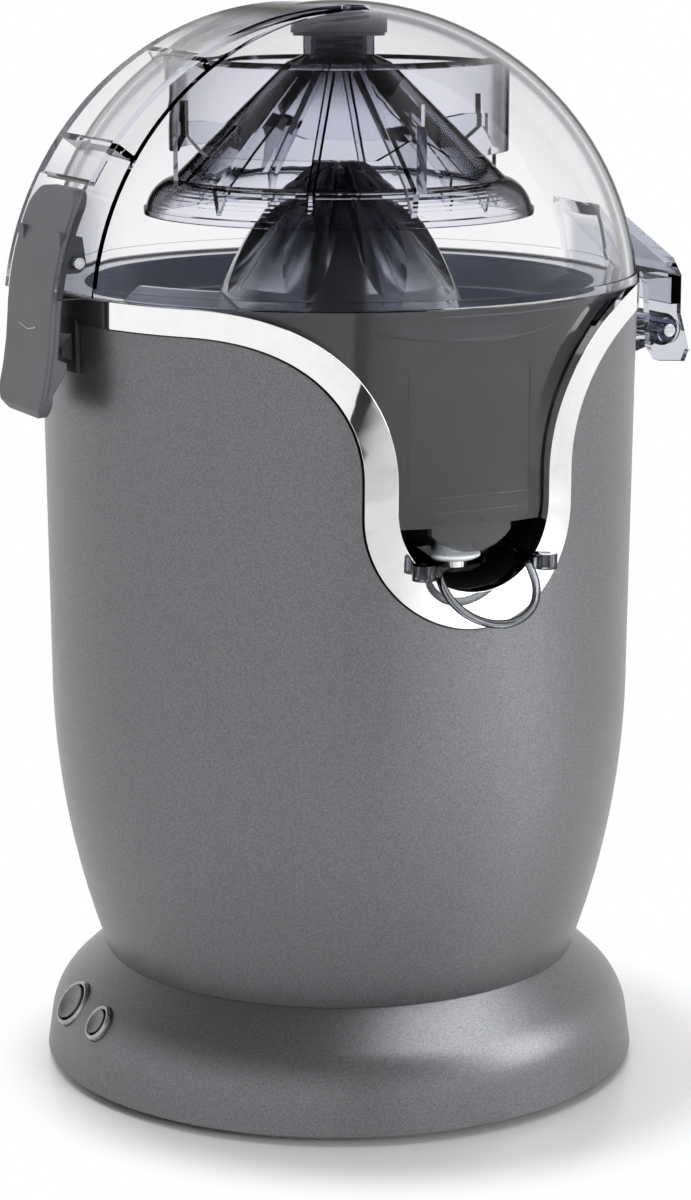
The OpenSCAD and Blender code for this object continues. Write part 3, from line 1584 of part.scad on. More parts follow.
// Strap that hangs the stopper cradle from an arm
module tap_strap(z0, z1) {
    mid = (strap_half + tap_half - tap_arm_t) / 2;
    translate([strap_half - strap_t / 2, 0, (z0 + z1) / 2]) cube([strap_t, strap_w, z1 - z0], center = true);
    translate([mid, 0, z1 - 0.9]) cube([6, strap_w, 1.8], center = true);
}

// Wire loop that a finger works the tap with
module tap_loop() {
    translate([0, arm_end[0] + 1, arm_end[1]]) rotate([loop_slope, 0, 0]) {
        for (s = [-1, 1]) translate([s * arm_mid, 0, 0]) rotate([90, 0, 0])
            cylinder(r = loop_wire, h = loop_leg + eps);
        translate([0, -loop_leg, 0]) rotate([0, 0, 180]) rotate_extrude(angle = 180)
            translate([arm_mid, 0]) circle(loop_wire);
    }
}

module tap_lever() {
    cradle_z = stopper_low - cradle_t;
    strap_z = tap_z - tap_back * tan(tap_slope) + 0.6;
    color(clear) {
        difference() {
            union() {
                for (s = [0, 1]) mirror([s, 0, 0]) {
                    translate([arm_mid, 0, 0]) tap_arm();
                    translate([arm_mid, 0, 0]) tap_eyelet();
                    translate([0, -outlet_y, 0]) tap_strap(cradle_z, strap_z);
                }
                translate([-strap_half, -outlet_y - strap_w / 2, cradle_z])
                    cube([2 * strap_half, strap_w, cradle_t]);
            }
            translate([0, -tap_y, tap_z]) x_rod(tap_pin_r + run_gap, 4 * tap_half);
            translate([0, -outlet_y, 0]) disc(hole_r, cradle_z - eps, stopper_low + eps);
        }
        tap_loop();
    }
}

// Soft stopper: a disc with a plug that closes the outlet
module tap_stopper() {
    plug_r = outlet_r - outlet_wall;
    color(white) translate([0, -outlet_y, stopper_low + 2 * seat_gap]) spin() polygon([
        [0, 1.6], [stopper_r - 1.4, 1.6], [stopper_r, 2.4], [stopper_r, 3.2], [stopper_r - 2.4, 3.8],
        [plug_r - 0.8, 4.4], [plug_r - 1, 5.6], [plug_r - 1.8, 6], [0, 6]]);
}

module stopper_ring() {
    color(chrome) translate([0, -outlet_y, 0]) {
        disc(4.6, stopper_low, stopper_low + 1.8);
        disc(screw_r, stopper_low - cradle_t, stopper_low + eps);
    }
}

module tap_pins() {
    inner = tap_half - tap_arm_t - 1;
    outer = niche_half + liner_wall;
    color(steel) for (s = [-1, 1]) translate([s * (inner + outer) / 2, -tap_y, tap_z])
        x_rod(tap_pin_r, outer - inner);
}

base_shell();
base_plate();
foot_ring();
base_screws();
body_screws();
cord_gland();
control_board();
start_bezel();
start_button();
start_switch();
reset_bezel();
reset_button();
reset_switch();
body_shell();
chrome_trim();
inner_liner();
latch_catch();
hinge_bracket();
hinge_pin();
hinge_screws();
chassis_plate();
lower_posts();
upper_posts();
motor_can();
motor_cap();
motor_rotor();
motor_pinion();
motor_screws();
gear_plate();
idler_pin();
compound_gear();
output_gear();
output_bush();
gear_cover();
cover_screws();
lift_nut();
spindle();
spindle_bush();
shaft_seal();
collector();
strainer();
reamer();
reamer_hub();
lid_dome();
press_guide();
press_hub();
press_cone();
press_spring();
press_screw();
latch_lever();
latch_pin();
tap_lever();
tap_stopper();
stopper_ring();
tap_pins();
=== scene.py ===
"""Looks of the citrus juicer: studio, camera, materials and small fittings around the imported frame."""

import json
import math

import bmesh
import bpy
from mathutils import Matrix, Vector


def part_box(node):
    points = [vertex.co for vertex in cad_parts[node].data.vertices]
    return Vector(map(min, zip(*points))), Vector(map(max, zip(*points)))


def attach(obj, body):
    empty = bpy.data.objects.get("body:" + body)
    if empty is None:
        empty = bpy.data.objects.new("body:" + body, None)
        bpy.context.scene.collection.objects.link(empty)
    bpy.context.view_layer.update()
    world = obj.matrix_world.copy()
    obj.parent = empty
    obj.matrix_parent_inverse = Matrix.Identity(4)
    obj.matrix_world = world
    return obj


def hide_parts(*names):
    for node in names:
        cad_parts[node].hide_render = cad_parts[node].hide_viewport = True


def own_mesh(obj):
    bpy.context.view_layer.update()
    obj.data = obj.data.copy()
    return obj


MM = 0.001

# Camera solved from the rim, seam and base ellipses of the photograph
CAMERA_AT = (-0.3973, -0.8044, 0.3228)
CAMERA_LOOK = (0.4346, 0.8755, -0.2110)
CAMERA_LENS = 98.72
SENSOR = 36.0

# Floor, in metres: the camera sees it as far as SHADOW_FADE, all other rays as far as FLOOR_FADE
FLOOR_RADIUS = 2.6
FLOOR_SEGMENTS = 128
FLOOR_GREYS = (0.75, 0.77)
FLOOR_ROUGHNESS = 0.22
FLOOR_FADE = (0.55, 1.5)
SHADOW_FADE = (0.086, 0.114)
SHADOW_MIDDLE = (0.008, -0.012, 0)

# World: strength of the fill, and of the sky that mirrors see, which darkens over MIRRORED_RISE
WORLD_FILL = 0.50
MIRRORED_HORIZON = 0.98
MIRRORED_ZENITH = 0.17
MIRRORED_RISE = (0.15, 0.85)

# Where the lamps look unless they are told otherwise
LAMP_AIM = (0, 0, 0.13)

# Dark card that the chrome mirrors, in metres and turned from the front. It is solid up to the
# share FLAG_SOLID of its width, and FLAG_BEND is a share of its width and how clear it is there.
FLAG_AWAY = 0.9
FLAG_FROM = math.radians(-20.5)
FLAG_TO = math.radians(-2.0)
FLAG_HEIGHT = 0.55
FLAG_GREYS = (0.01, 0.02)
FLAG_ROUGHNESS = 0.8
FLAG_SOLID = 0.20
FLAG_BEND = (0.36, 0.64)

# Most noise values lie in this range
NOISE_RANGE = (0.3, 0.7)

# Clear and smoky plastics: refraction of thick and thin walls, tints of light that goes a long way
# through them, and how far a surface turns away before its flank is painted darker as painted shade
THICK_IOR = 1.49
THIN_IOR = 1.3
COOL_TINT = (0.58, 0.59, 0.70)
SMOKE_TINT = (0.45, 0.47, 0.52)
FLANK_START = 0.2

# Bends sharper than this keep a sharp edge
SMOOTH_ANGLE = math.radians(24)

# Rays that lay small pieces on a surface start this far out, in metres
RAY_AWAY = 0.2
RAY_ABOVE = 0.3

# Mark on the latch, in mm: half width, height of its middle, drop of the V and wire
MARK_HALF = 6.0
MARK_Z = 211.5
MARK_DROP = 1.0
MARK_WIRE = 0.22
MARK_STEPS = 12

# Edges moulded on the front face of the collector, in mm: heights, half widths and wire
BROW_Z = 211.0
BROW_HALF = 27.0
BROW_CURVE = 0.004
PANEL_HALF = 17.5
PANEL_LOW = (167.5, 171.4)
PANEL_TOP = BROW_Z - 6
EDGE_WIRE = 0.22
EDGE_STEPS = 24

# Teeth round the tip of the reamer, in mm, with shares for the ends' height and the top's thickness
TEETH = 10
TOOTH_FROM = 1.5
TOOTH_TO = 12.0
TOOTH_HIGH = 1.7
TOOTH_THICK = 0.9
TOOTH_TOP = 250.7
TOOTH_SINK = 0.4
TOOTH_END = 0.15
TOOTH_TIP = 0.3
TOOTH_STEPS = 6

# Spring of the press, in mm
SPRING_TURNS = 5
SPRING_RADIUS = 6.0
SPRING_WIRE = 0.45
SPRING_RINGS = 32 * SPRING_TURNS
SPRING_SIDES = 12

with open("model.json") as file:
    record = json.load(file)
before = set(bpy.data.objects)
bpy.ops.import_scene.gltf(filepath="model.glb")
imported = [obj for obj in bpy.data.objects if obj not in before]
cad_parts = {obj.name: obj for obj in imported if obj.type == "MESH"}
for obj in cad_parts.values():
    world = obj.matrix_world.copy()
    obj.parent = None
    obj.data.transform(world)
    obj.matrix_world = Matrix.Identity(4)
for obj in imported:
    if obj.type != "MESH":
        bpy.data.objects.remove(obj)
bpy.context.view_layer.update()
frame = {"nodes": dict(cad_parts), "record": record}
nodes = frame["nodes"]


# Node helpers


def new_material(name):
    """An empty node material with its Principled shader."""
    mat = bpy.data.materials.new(name)
    mat.use_nodes = True
    tree = mat.node_tree
    shader = tree.nodes["Principled BSDF"]
    return mat, tree, shader


def add(tree, kind, **values):
    """A node of the given kind; values are sockets by name or attributes."""
    node = tree.nodes.new(kind)
    for key, value in values.items():
        if key in node.inputs:
            node.inputs[key].default_value = value
        else:
            setattr(node, key, value)
    return node


def coords(tree):
    """Object coordinates, in metres and fixed to the piece."""
    return add(tree, "ShaderNodeTexCoord").outputs["Object"]


def noise(tree, scale, detail=2.0, stretch=None):
    """Noise value in object space, optionally stretched along an axis."""
    source = coords(tree)
    if stretch:
        mapping = add(tree, "ShaderNodeMapping")
        mapping.inputs["Scale"].default_value = stretch
        tree.links.new(source, mapping.inputs["Vector"])
        source = mapping.outputs["Vector"]
    node = add(tree, "ShaderNodeTexNoise", Scale=scale, Detail=detail)
    tree.links.new(source, node.inputs["Vector"])
    return node.outputs["Fac"]


def ramp(tree, fac, low, high):
    """A two colour ramp over a noise value."""
    node = add(tree, "ShaderNodeValToRGB")
    for element, position, colour in zip(node.color_ramp.elements, NOISE_RANGE, (low, high)):
        element.position = position
        element.color = (*colour, 1)
    tree.links.new(fac, node.inputs["Fac"])
    return node.outputs["Color"]


def greys(tree, fac, low, high):
    """A ramp between two greys."""
    return ramp(tree, fac, (low, low, low), (high, high, high))


def spread(tree, fac, low, high):
    """A noise value mapped to low..high."""
    node = add(tree, "ShaderNodeMapRange")
    node.inputs["From Min"].default_value = NOISE_RANGE[0]
    node.inputs["From Max"].default_value = NOISE_RANGE[1]
    node.inputs["To Min"].default_value = low
    node.inputs["To Max"].default_value = high
    tree.links.new(fac, node.inputs["Value"])
    return node.outputs["Result"]


def between(tree, value, start, end):
    """0 to 1, eased, as a value goes from start to end."""
    share = add(tree, "ShaderNodeMapRange", interpolation_type="SMOOTHSTEP")
    share.inputs["From Min"].default_value = start
    share.inputs["From Max"].default_value = end
    tree.links.new(value, share.inputs["Value"])
    return share.outputs["Result"]


def along(tree, axis, start, end):
    """0 to 1 over a range of places along an axis."""
    place = add(tree, "ShaderNodeSeparateXYZ")
    tree.links.new(coords(tree), place.inputs["Vector"])
    return between(tree, place.outputs[axis], start, end)


def from_axis(tree, start, end):
    """0 to 1 over a range of distances from the spindle axis."""
    flat = add(tree, "ShaderNodeVectorMath", operation="MULTIPLY")
    flat.inputs[1].default_value = (1, 1, 0)
    tree.links.new(coords(tree), flat.inputs[0])
    length = add(tree, "ShaderNodeVectorMath", operation="LENGTH")
    tree.links.new(flat.outputs["Vector"], length.inputs[0])
    return between(tree, length.outputs["Value"], start, end)


def turned_away(tree, start, end):
    """0 where the surface faces the eye, 1 where it turns away."""
    weight = add(tree, "ShaderNodeLayerWeight", Blend=0.5)
    return between(tree, weight.outputs["Facing"], start, end)


def blended(tree, fac, first, second, way="MIX"):
    """Two colours mixed or multiplied by a share; each is a colour or a socket."""
    mix = add(tree, "ShaderNodeMix", data_type="RGBA", blend_type=way)
    tree.links.new(fac, mix.inputs["Factor"])
    for key, value in (("A", first), ("B", second)):
        if isinstance(value, tuple):
            mix.inputs[key].default_value = (*value, 1)
        else:
            tree.links.new(value, mix.inputs[key])
    return mix.outputs["Result"]


def mixed(tree, fac, first, second):
    """Two shaders mixed by a share."""
    mix = add(tree, "ShaderNodeMixShader")
    tree.links.new(fac, mix.inputs["Fac"])
    tree.links.new(first, mix.inputs[1])
    tree.links.new(second, mix.inputs[2])
    return mix.outputs["Shader"]


def to_surface(tree, shader):
    """Makes a shader the surface of its material."""
    tree.links.new(shader, tree.nodes["Material Output"].inputs["Surface"])


def relief(tree, shader, fac, strength, distance, edge=None):
    """Bump from a value, over edges that a bevel rounds off; lengths in mm."""
    bump = add(tree, "ShaderNodeBump", Strength=strength, Distance=distance * MM)
    tree.links.new(fac, bump.inputs["Height"])
    if edge:
        bevel = add(tree, "ShaderNodeBevel", samples=4, Radius=edge * MM)
        tree.links.new(bevel.outputs["Normal"], bump.inputs["Normal"])
    tree.links.new(bump.outputs["Normal"], shader.inputs["Normal"])


def let_lamps_in(tree, shader, shade):
    """Lets lamp light through the surface, tinted, instead of casting a full shadow."""
    open_way = add(tree, "ShaderNodeBsdfTransparent")
    open_way.inputs["Color"].default_value = (*shade, 1)
    path = add(tree, "ShaderNodeLightPath")
    to_surface(tree, mixed(
        tree, path.outputs["Is Shadow Ray"], shader.outputs["BSDF"], open_way.outputs["BSDF"]))


def thickness_tint(tree, tint_and_shade, density):
    """Light that goes a longer way through the plastic loses more of itself."""
    depth = add(tree, "ShaderNodeVolumeAbsorption", Density=density)
    depth.inputs["Color"].default_value = (*tint_and_shade, 1)
    tree.links.new(depth.outputs["Volume"], tree.nodes["Material Output"].inputs["Volume"])


# Materials


def paint():
    """Satin metallic grey paint: fine flakes under a thin clear coat."""
    mat, tree, shader = new_material("metallic_paint")
    flakes = ramp(tree, noise(tree, 2200), (0.138, 0.141, 0.148), (0.222, 0.226, 0.234))
    tree.links.new(flakes, shader.inputs["Base Color"])
    shader.inputs["Metallic"].default_value = 0.88
    cloud = noise(tree, 30, detail=3.0)
    tree.links.new(spread(tree, cloud, 0.35, 0.39), shader.inputs["Roughness"])
    shader.inputs["Coat Weight"].default_value = 0.06
    shader.inputs["Coat Roughness"].default_value = 0.2
    relief(tree, shader, noise(tree, 1500), strength=0.12, distance=0.12, edge=0.6)
    return mat


def plated(name, low, high, rough, grain=None, bump=0.03):
    """Bare or plated metal with faint cloudiness and, where given, a grain direction."""
    mat, tree, shader = new_material(name)
    cloud = noise(tree, 220, detail=4.0, stretch=grain)
    tree.links.new(ramp(tree, cloud, low, high), shader.inputs["Base Color"])
    shader.inputs["Metallic"].default_value = 1.0
    tree.links.new(spread(tree, cloud, *rough), shader.inputs["Roughness"])
    relief(tree, shader, noise(tree, 900, stretch=grain), strength=bump, distance=0.05, edge=0.25)
    return mat


def moulded(name, low, high, rough, grain, bump, edge=0.4):
    """Opaque moulded plastic or rubber with a fine spark-eroded grain."""
    mat, tree, shader = new_material(name)
    cloud = noise(tree, 90, detail=3.0)
    tree.links.new(ramp(tree, cloud, low, high), shader.inputs["Base Color"])
    tree.links.new(spread(tree, cloud, *rough), shader.inputs["Roughness"])
    relief(tree, shader, noise(tree, grain), strength=bump, distance=0.1, edge=edge)
    return mat


def see_through(tree, shader, flow, rough, tint_and_shade, density, shade):
    """What clear and smoky mouldings share: gloss, faint waves, depth of tint and light let in."""
    tree.links.new(spread(tree, noise(tree, 60, detail=4.0), *rough), shader.inputs["Roughness"])
    relief(tree, shader, flow, strength=0.04, distance=0.6)
    let_lamps_in(tree, shader, shade)
    thickness_tint(tree, tint_and_shade, density)


def clear(name, centre, edge, turn, density, shade, darker=(), shine=0.0, flank=0.84, ior=THICK_IOR):
    """Clear moulding whose colour goes from centre to a dark edge as the surface turns away: painted
    shade for the dark rims that refraction gives.

    darker lists ends and bands of the piece that are painted darker as painted shade: axis, start, end
    and colour.
    """
    mat, tree, shader = new_material(name)
    flow = noise(tree, 18)
    middle = 0.5 * (turn[0] + turn[1])
    colour = ramp(tree, flow, tuple(0.98 * v for v in centre), centre)
    # painted shade: each band listed in darker is painted its darker colour
    for axis, start, end, tint_and_shade in darker:
        colour = blended(tree, along(tree, axis, start, end), colour, tint_and_shade)
    # painted shade: the flank is darkened, then the edge turns dark and mirror-like, as the surface
    # turns away
    flanks = turned_away(tree, FLANK_START, turn[0])
    colour = blended(tree, flanks, colour, (flank, flank, flank), way="MULTIPLY")
    colour = blended(tree, turned_away(tree, turn[0], middle), colour, edge)
    tree.links.new(colour, shader.inputs["Base Color"])
    tree.links.new(turned_away(tree, middle, turn[1]), shader.inputs["Metallic"])
    shader.inputs["Specular Tint"].default_value = (shine, shine, shine, 1)
    shader.inputs["Transmission Weight"].default_value = 1.0
    shader.inputs["IOR"].default_value = ior
    see_through(tree, shader, flow, (0.01, 0.03), COOL_TINT, density, shade)
    return mat


def smoky(name, low, high, transmission, rough, density, shade, rim=None, back=None):
    """Smoky moulding that dims what is behind it, with a rim or back painted paler as painted light
    where given.
    """
    mat, tree, shader = new_material(name)
    flow = noise(tree, 18)
    colour = ramp(tree, flow, low, high)
    # painted light: beyond the rim's range of distances from the axis the colour is painted pale
    if rim:
        colour = blended(tree, from_axis(tree, *rim["r"]), colour, rim["color"])
    # painted light: behind the back's start along Y the colour is painted pale
    if back:
        colour = blended(tree, along(tree, "Y", *back["y"]), colour, back["color"])
    tree.links.new(colour, shader.inputs["Base Color"])
    shader.inputs["Transmission Weight"].default_value = transmission
    shader.inputs["IOR"].default_value = THICK_IOR
    see_through(tree, shader, flow, (0.6 * rough, 1.4 * rough), SMOKE_TINT, density, shade)
    return mat


def silicone():
    """Soft milky silicone that light sinks into."""
    mat = moulded(
        "silicone", (0.86, 0.90, 0.94), (0.92, 0.95, 0.98),
        rough=(0.28, 0.38), grain=400, bump=0.04, edge=0.5)
    shader = mat.node_tree.nodes["Principled BSDF"]
    shader.inputs["Subsurface Weight"].default_value = 0.4
    shader.inputs["Subsurface Scale"].default_value = 0.003
    shader.inputs["Subsurface Radius"].default_value = (1, 1, 1)
    return mat


def circuit_board():
    """Green lacquered board with paler copper runs."""
    mat, tree, shader = new_material("circuit_board")
    runs = add(tree, "ShaderNodeTexBrick", Scale=140.0)
    runs.inputs["Color1"].default_value = (0.012, 0.085, 0.030, 1)
    runs.inputs["Color2"].default_value = (0.016, 0.105, 0.038, 1)
    runs.inputs["Mortar"].default_value = (0.045, 0.190, 0.080, 1)
    tree.links.new(coords(tree), runs.inputs["Vector"])
    tree.links.new(runs.outputs["Color"], shader.inputs["Base Color"])
    tree.links.new(spread(tree, noise(tree, 300), 0.3, 0.45), shader.inputs["Roughness"])
    return mat


MATERIALS = {
    "paint": paint(),
    "chrome": plated(
        "chrome_plate", (0.90, 0.91, 0.90), (0.95, 0.96, 0.95), rough=(0.03, 0.06), bump=0.012),
    "steel": plated(
        "steel", (0.50, 0.51, 0.53), (0.62, 0.63, 0.65), rough=(0.22, 0.34), grain=(1, 1, 12)),
    "satin": plated("satin_ring", (0.34, 0.35, 0.36), (0.46, 0.47, 0.48), rough=(0.20, 0.30)),
    "cap": plated(
        "button_cap", (0.15, 0.152, 0.155), (0.21, 0.212, 0.215), rough=(0.30, 0.38), grain=(1, 8, 1)),
    "brass": plated("brass", (0.62, 0.45, 0.18), (0.72, 0.54, 0.25), rough=(0.25, 0.38)),
    "black": moulded(
        "black_plastic", (0.008, 0.008, 0.010), (0.014, 0.014, 0.017),
        rough=(0.28, 0.38), grain=700, bump=0.03),
    "grey": moulded(
        "grey_plastic", (0.070, 0.074, 0.081), (0.087, 0.091, 0.099),
        rough=(0.40, 0.50), grain=1600, bump=0.14, edge=0.7),
    "hub": moulded(
        "hub_plastic", (0.014, 0.016, 0.020), (0.020, 0.022, 0.028),
        rough=(0.45, 0.55), grain=1200, bump=0.06),
    "rubber": moulded(
        "rubber", (0.015, 0.015, 0.016), (0.026, 0.026, 0.027), rough=(0.62, 0.76), grain=900, bump=0.2),
    "white": moulded(
        "white_nylon", (0.66, 0.66, 0.64), (0.74, 0.74, 0.72), rough=(0.36, 0.48), grain=800, bump=0.06),
    "silicone": silicone(),
    "board": circuit_board(),
    "clear": clear(
        "clear_lid", centre=(1.0, 1.0, 1.0), edge=(0.05, 0.055, 0.07), turn=(0.74, 0.90),
        density=26, shade=(0.88, 0.88, 0.90), flank=0.95, ior=THIN_IOR,
        # painted shade: the +X end with the hinge ears and the -X end with the crest are painted greyer
        darker=[
            ("X", 0.0815, 0.0835, (0.66, 0.67, 0.72)),
            ("X", -0.073, -0.083, (0.74, 0.745, 0.775)),
        ]),
    "press": clear(
        "press_plastic", centre=(0.95, 0.95, 0.98), edge=(0.04, 0.043, 0.065), turn=(0.50, 0.80),
        density=80, shade=(0.76, 0.76, 0.80), ior=THIN_IOR,
        # painted shade: the neck under the hub, above z 0.262 m, is painted dark
        darker=[("Z", 0.262, 0.279, (0.14, 0.145, 0.175))]),
    "guide": clear(
        "guide_plastic", centre=(0.97, 0.97, 0.99), edge=(0.04, 0.043, 0.065), turn=(0.58, 0.84),
        density=95, shade=(0.76, 0.76, 0.80), ior=THIN_IOR,
        # painted shade: the top millimetre of the drum is painted dark
        darker=[("Z", 0.2767, 0.2773, (0.06, 0.062, 0.08))]),
    "hinge": clear(
        "hinge_plastic", centre=(0.80, 0.81, 0.84), edge=(0.03, 0.033, 0.042), turn=(0.45, 0.80),
        density=90, shade=(0.6, 0.6, 0.64), shine=0.5),
    "tap": clear(
        "tap_plastic", centre=(0.34, 0.35, 0.37), edge=(0.010, 0.011, 0.014), turn=(0.16, 0.66),
        density=200, shade=(0.5, 0.5, 0.53), shine=0.7),
    "reamer": smoky(
        "reamer_plastic", (0.095, 0.101, 0.126), (0.130, 0.136, 0.160), transmission=1.0, rough=0.16,
        density=220, shade=(0.30, 0.30, 0.33),
        # painted light: the reamer is painted pale beyond 18 to 29 mm from the axis, for light through
        # its thin wings
        rim={"r": (0.018, 0.029), "color": (0.95, 0.96, 1.0)}),
    "smoke": smoky(
        "smoky_plastic", (0.140, 0.147, 0.152), (0.170, 0.178, 0.184), transmission=0.80, rough=0.08,
        density=90, shade=(0.25, 0.25, 0.28),
        # painted light: the collector behind its front face is painted pale, for light and reflections
        # in the bowl
        back={"y": (-0.062, -0.035), "color": (0.66, 0.69, 0.80)}),
}

# Nodes that look different from the rest of their slot
SPECIAL = {
    "start_button": "cap", "reset_button": "cap", "start_bezel": "satin", "reset_bezel": "satin",
    "press_cone": "press", "press_guide": "guide", "press_hub": "hub", "reamer": "reamer",
    "tap_lever": "tap", "hinge_bracket": "hinge",
}


def dress_nodes():
    """Gives every frame node the material of its slot in the record, or its special one."""
    for part in frame["record"]["subparts"]:
        name = part["node"]
        piece = nodes[name]
        piece.data.materials.clear()
        piece.data.materials.append(MATERIALS[SPECIAL.get(name, part["material_slot"])])


# Helpers for small pieces


def placed(name, data):
    """A new object in the scene with the given data."""
    piece = bpy.data.objects.new(name, data)
    bpy.context.collection.objects.link(piece)
    return piece


def from_form(name, form):
    """A new object with the mesh of a bmesh form."""
    mesh = bpy.data.meshes.new(name)
    form.to_mesh(mesh)
    form.free()
    return placed(name, mesh)


def wires(name, lines, wire):
    """A new object of thin round wires, each through the places of a line."""
    curve = bpy.data.curves.new(name, "CURVE")
    curve.dimensions = "3D"
    curve.bevel_depth = wire * MM
    curve.bevel_resolution = 2
    for line in lines:
        spline = curve.splines.new("POLY")
        spline.points.add(len(line) - 1)
        for point, place in zip(spline.points, line):
            point.co = (*place, 1)
    return placed(name, curve)


def on_surface(name, start, way):
    """The place where a ray meets a frame node, which is the second value of a cast."""
    return nodes[name].ray_cast(Vector(start), Vector(way))[1]


def shares(steps):
    """Even steps from -1 to 1."""
    return [2 * i / steps - 1 for i in range(steps + 1)]


def close_ends(form, loops):
    """Caps both ends of a row of loops and turns all faces outward."""
    form.faces.new(loops[0])
    form.faces.new(list(reversed(loops[-1])))
    bmesh.ops.recalc_face_normals(form, faces=form.faces)


# Small pieces


def latch_mark():
    """Fine raised V on the front of the latch, laid on its surface by casting rays at it."""
    line = []
    for share in shares(MARK_STEPS):
        y = share * MARK_HALF * MM
        z = (MARK_Z - MARK_DROP * (1 - abs(share))) * MM
        line.append(on_surface("latch_lever", (-RAY_AWAY, y, z), (1, 0, 0)))
    mark = wires("latch_mark", [line], MARK_WIRE)
    mark.data.materials.append(MATERIALS["satin"])
    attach(mark, "latch")


def collector_edges():
    """Fine moulded edges of the collector's front face, laid on it by casting rays at it."""
    steps = shares(EDGE_STEPS)
    plans = [[(BROW_HALF * v, BROW_Z + BROW_CURVE * (BROW_HALF * v) ** 2) for v in steps]]
    for z in PANEL_LOW:
        plans.append([(PANEL_HALF * v, z) for v in steps])
    for x in (-PANEL_HALF, PANEL_HALF):
        plans.append([(x, PANEL_LOW[1] + (PANEL_TOP - PANEL_LOW[1]) * (v + 1) / 2) for v in steps])
    lines = []
    for plan in plans:
        lines.append([on_surface("collector", (x * MM, -RAY_AWAY, z * MM), (0, 1, 0)) for x, z in plan])
    edges = wires("collector_edges", lines, EDGE_WIRE)
    edges.data.materials.append(MATERIALS["smoke"])
    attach(edges, "juicer_body")


def tooth_sections(form, turn):
    """Cross sections of one tooth, from the tip of the reamer outward."""
    out = Vector((math.cos(turn), math.sin(turn), 0))
    side = 0.5 * TOOTH_THICK * MM * Vector((-math.sin(turn), math.cos(turn), 0))
    sections = []
    for k in range(TOOTH_STEPS + 1):
        share = k / TOOTH_STEPS
        place = (TOOTH_FROM + (TOOTH_TO - TOOTH_FROM) * share) * MM * out
        ground = on_surface("reamer", (place.x, place.y, RAY_ABOVE), (0, 0, -1)).z
        swell = math.sin(math.pi * (TOOTH_END + (1 - TOOTH_END) * share))
        rise = TOOTH_HIGH * MM * (TOOTH_END + (1 - TOOTH_END) * swell)
        top = Vector((place.x, place.y, min(ground + rise, TOOTH_TOP * MM)))
        low = Vector((place.x, place.y, ground - TOOTH_SINK * MM))
        corners = (low - side, low + side, top + TOOTH_TIP * side, top - TOOTH_TIP * side)
        sections.append([form.verts.new(corner) for corner in corners])
    return sections


def reamer_teeth():
    """Low pointed fins round the reamer's tip, set on its surface by casting rays at it."""
    form = bmesh.new()
    for i in range(TEETH):
        sections = tooth_sections(form, 2 * math.pi * (i + 0.5) / TEETH)
        for one, two in zip(sections, sections[1:]):
            for k in range(len(one)):
                form.faces.new((one[k - 1], one[k], two[k], two[k - 1]))
        close_ends(form, sections)
    teeth = from_form("reamer_teeth", form)
    teeth.data.materials.append(MATERIALS["hub"])
    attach(teeth, "reamer_set")


def spring_loops(form, first, rise):
    """Rings of corners along the wire of the spring, from its first height upward."""
    up = Vector((0, 0, 1))
    loops = []
    for i in range(SPRING_RINGS + 1):
        turn = 2 * math.pi * SPRING_TURNS * i / SPRING_RINGS
        out = Vector((math.cos(turn), math.sin(turn), 0))
        middle = SPRING_RADIUS * MM * out + (first + rise * i / SPRING_RINGS) * up
        loop = []
        for k in range(SPRING_SIDES):
            angle = 2 * math.pi * k / SPRING_SIDES
            offset = SPRING_WIRE * MM * (math.cos(angle) * out + math.sin(angle) * up)
            loop.append(form.verts.new(middle + offset))
        loops.append(loop)
    return loops


def press_spring():
    """Round-wire spring that stands for the one in the frame, hung on the lid."""
    low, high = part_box("press_spring")
    length = high[2] - low[2]
    form = bmesh.new()
    loops = spring_loops(form, low[2] + SPRING_WIRE * MM, length - 2 * SPRING_WIRE * MM)
    for one, two in zip(loops, loops[1:]):
        for k in range(SPRING_SIDES):
            form.faces.new((one[k], one[k - 1], two[k - 1], two[k]))
    close_ends(form, loops)
    spring = from_form("press_spring_wire", form)
    spring.data.shade_smooth()
    spring.data.materials.append(MATERIALS["steel"])
    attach(spring, "lid")
    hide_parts("press_spring")
    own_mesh(spring)


# Studio


def floor_material():
    """Pale satin floor that gives way to plain white for the camera, and to nothing for other rays."""
    mat, tree, shader = new_material("floor")
    tree.links.new(greys(tree, noise(tree, 6), *FLOOR_GREYS), shader.inputs["Base Color"])
    shader.inputs["Roughness"].default_value = FLOOR_ROUGHNESS
    reach = add(tree, "ShaderNodeVectorMath", operation="DISTANCE")
    reach.inputs[1].default_value = SHADOW_MIDDLE
    tree.links.new(coords(tree), reach.inputs[0])
    to_camera = add(tree, "ShaderNodeLightPath").outputs["Is Camera Ray"]
    share = add(tree, "ShaderNodeMix", data_type="FLOAT")
    tree.links.new(to_camera, share.inputs["Factor"])
    tree.links.new(between(tree, reach.outputs["Value"], *FLOOR_FADE), share.inputs["A"])
    tree.links.new(between(tree, reach.outputs["Value"], *SHADOW_FADE), share.inputs["B"])
    gone = add(tree, "ShaderNodeBsdfTransparent")
    white = add(tree, "ShaderNodeEmission", Strength=1.0)
    around = mixed(tree, to_camera, gone.outputs["BSDF"], white.outputs["Emission"])
    to_surface(tree, mixed(tree, share.outputs["Result"], shader.outputs["BSDF"], around))
    return mat


def studio_floor():
    """Round floor that keeps the soft shadow and fades into the white backdrop around it."""
    form = bmesh.new()
    bmesh.ops.create_circle(form, cap_ends=True, segments=FLOOR_SEGMENTS, radius=FLOOR_RADIUS)
    floor = from_form("floor", form)
    floor.data.materials.append(floor_material())


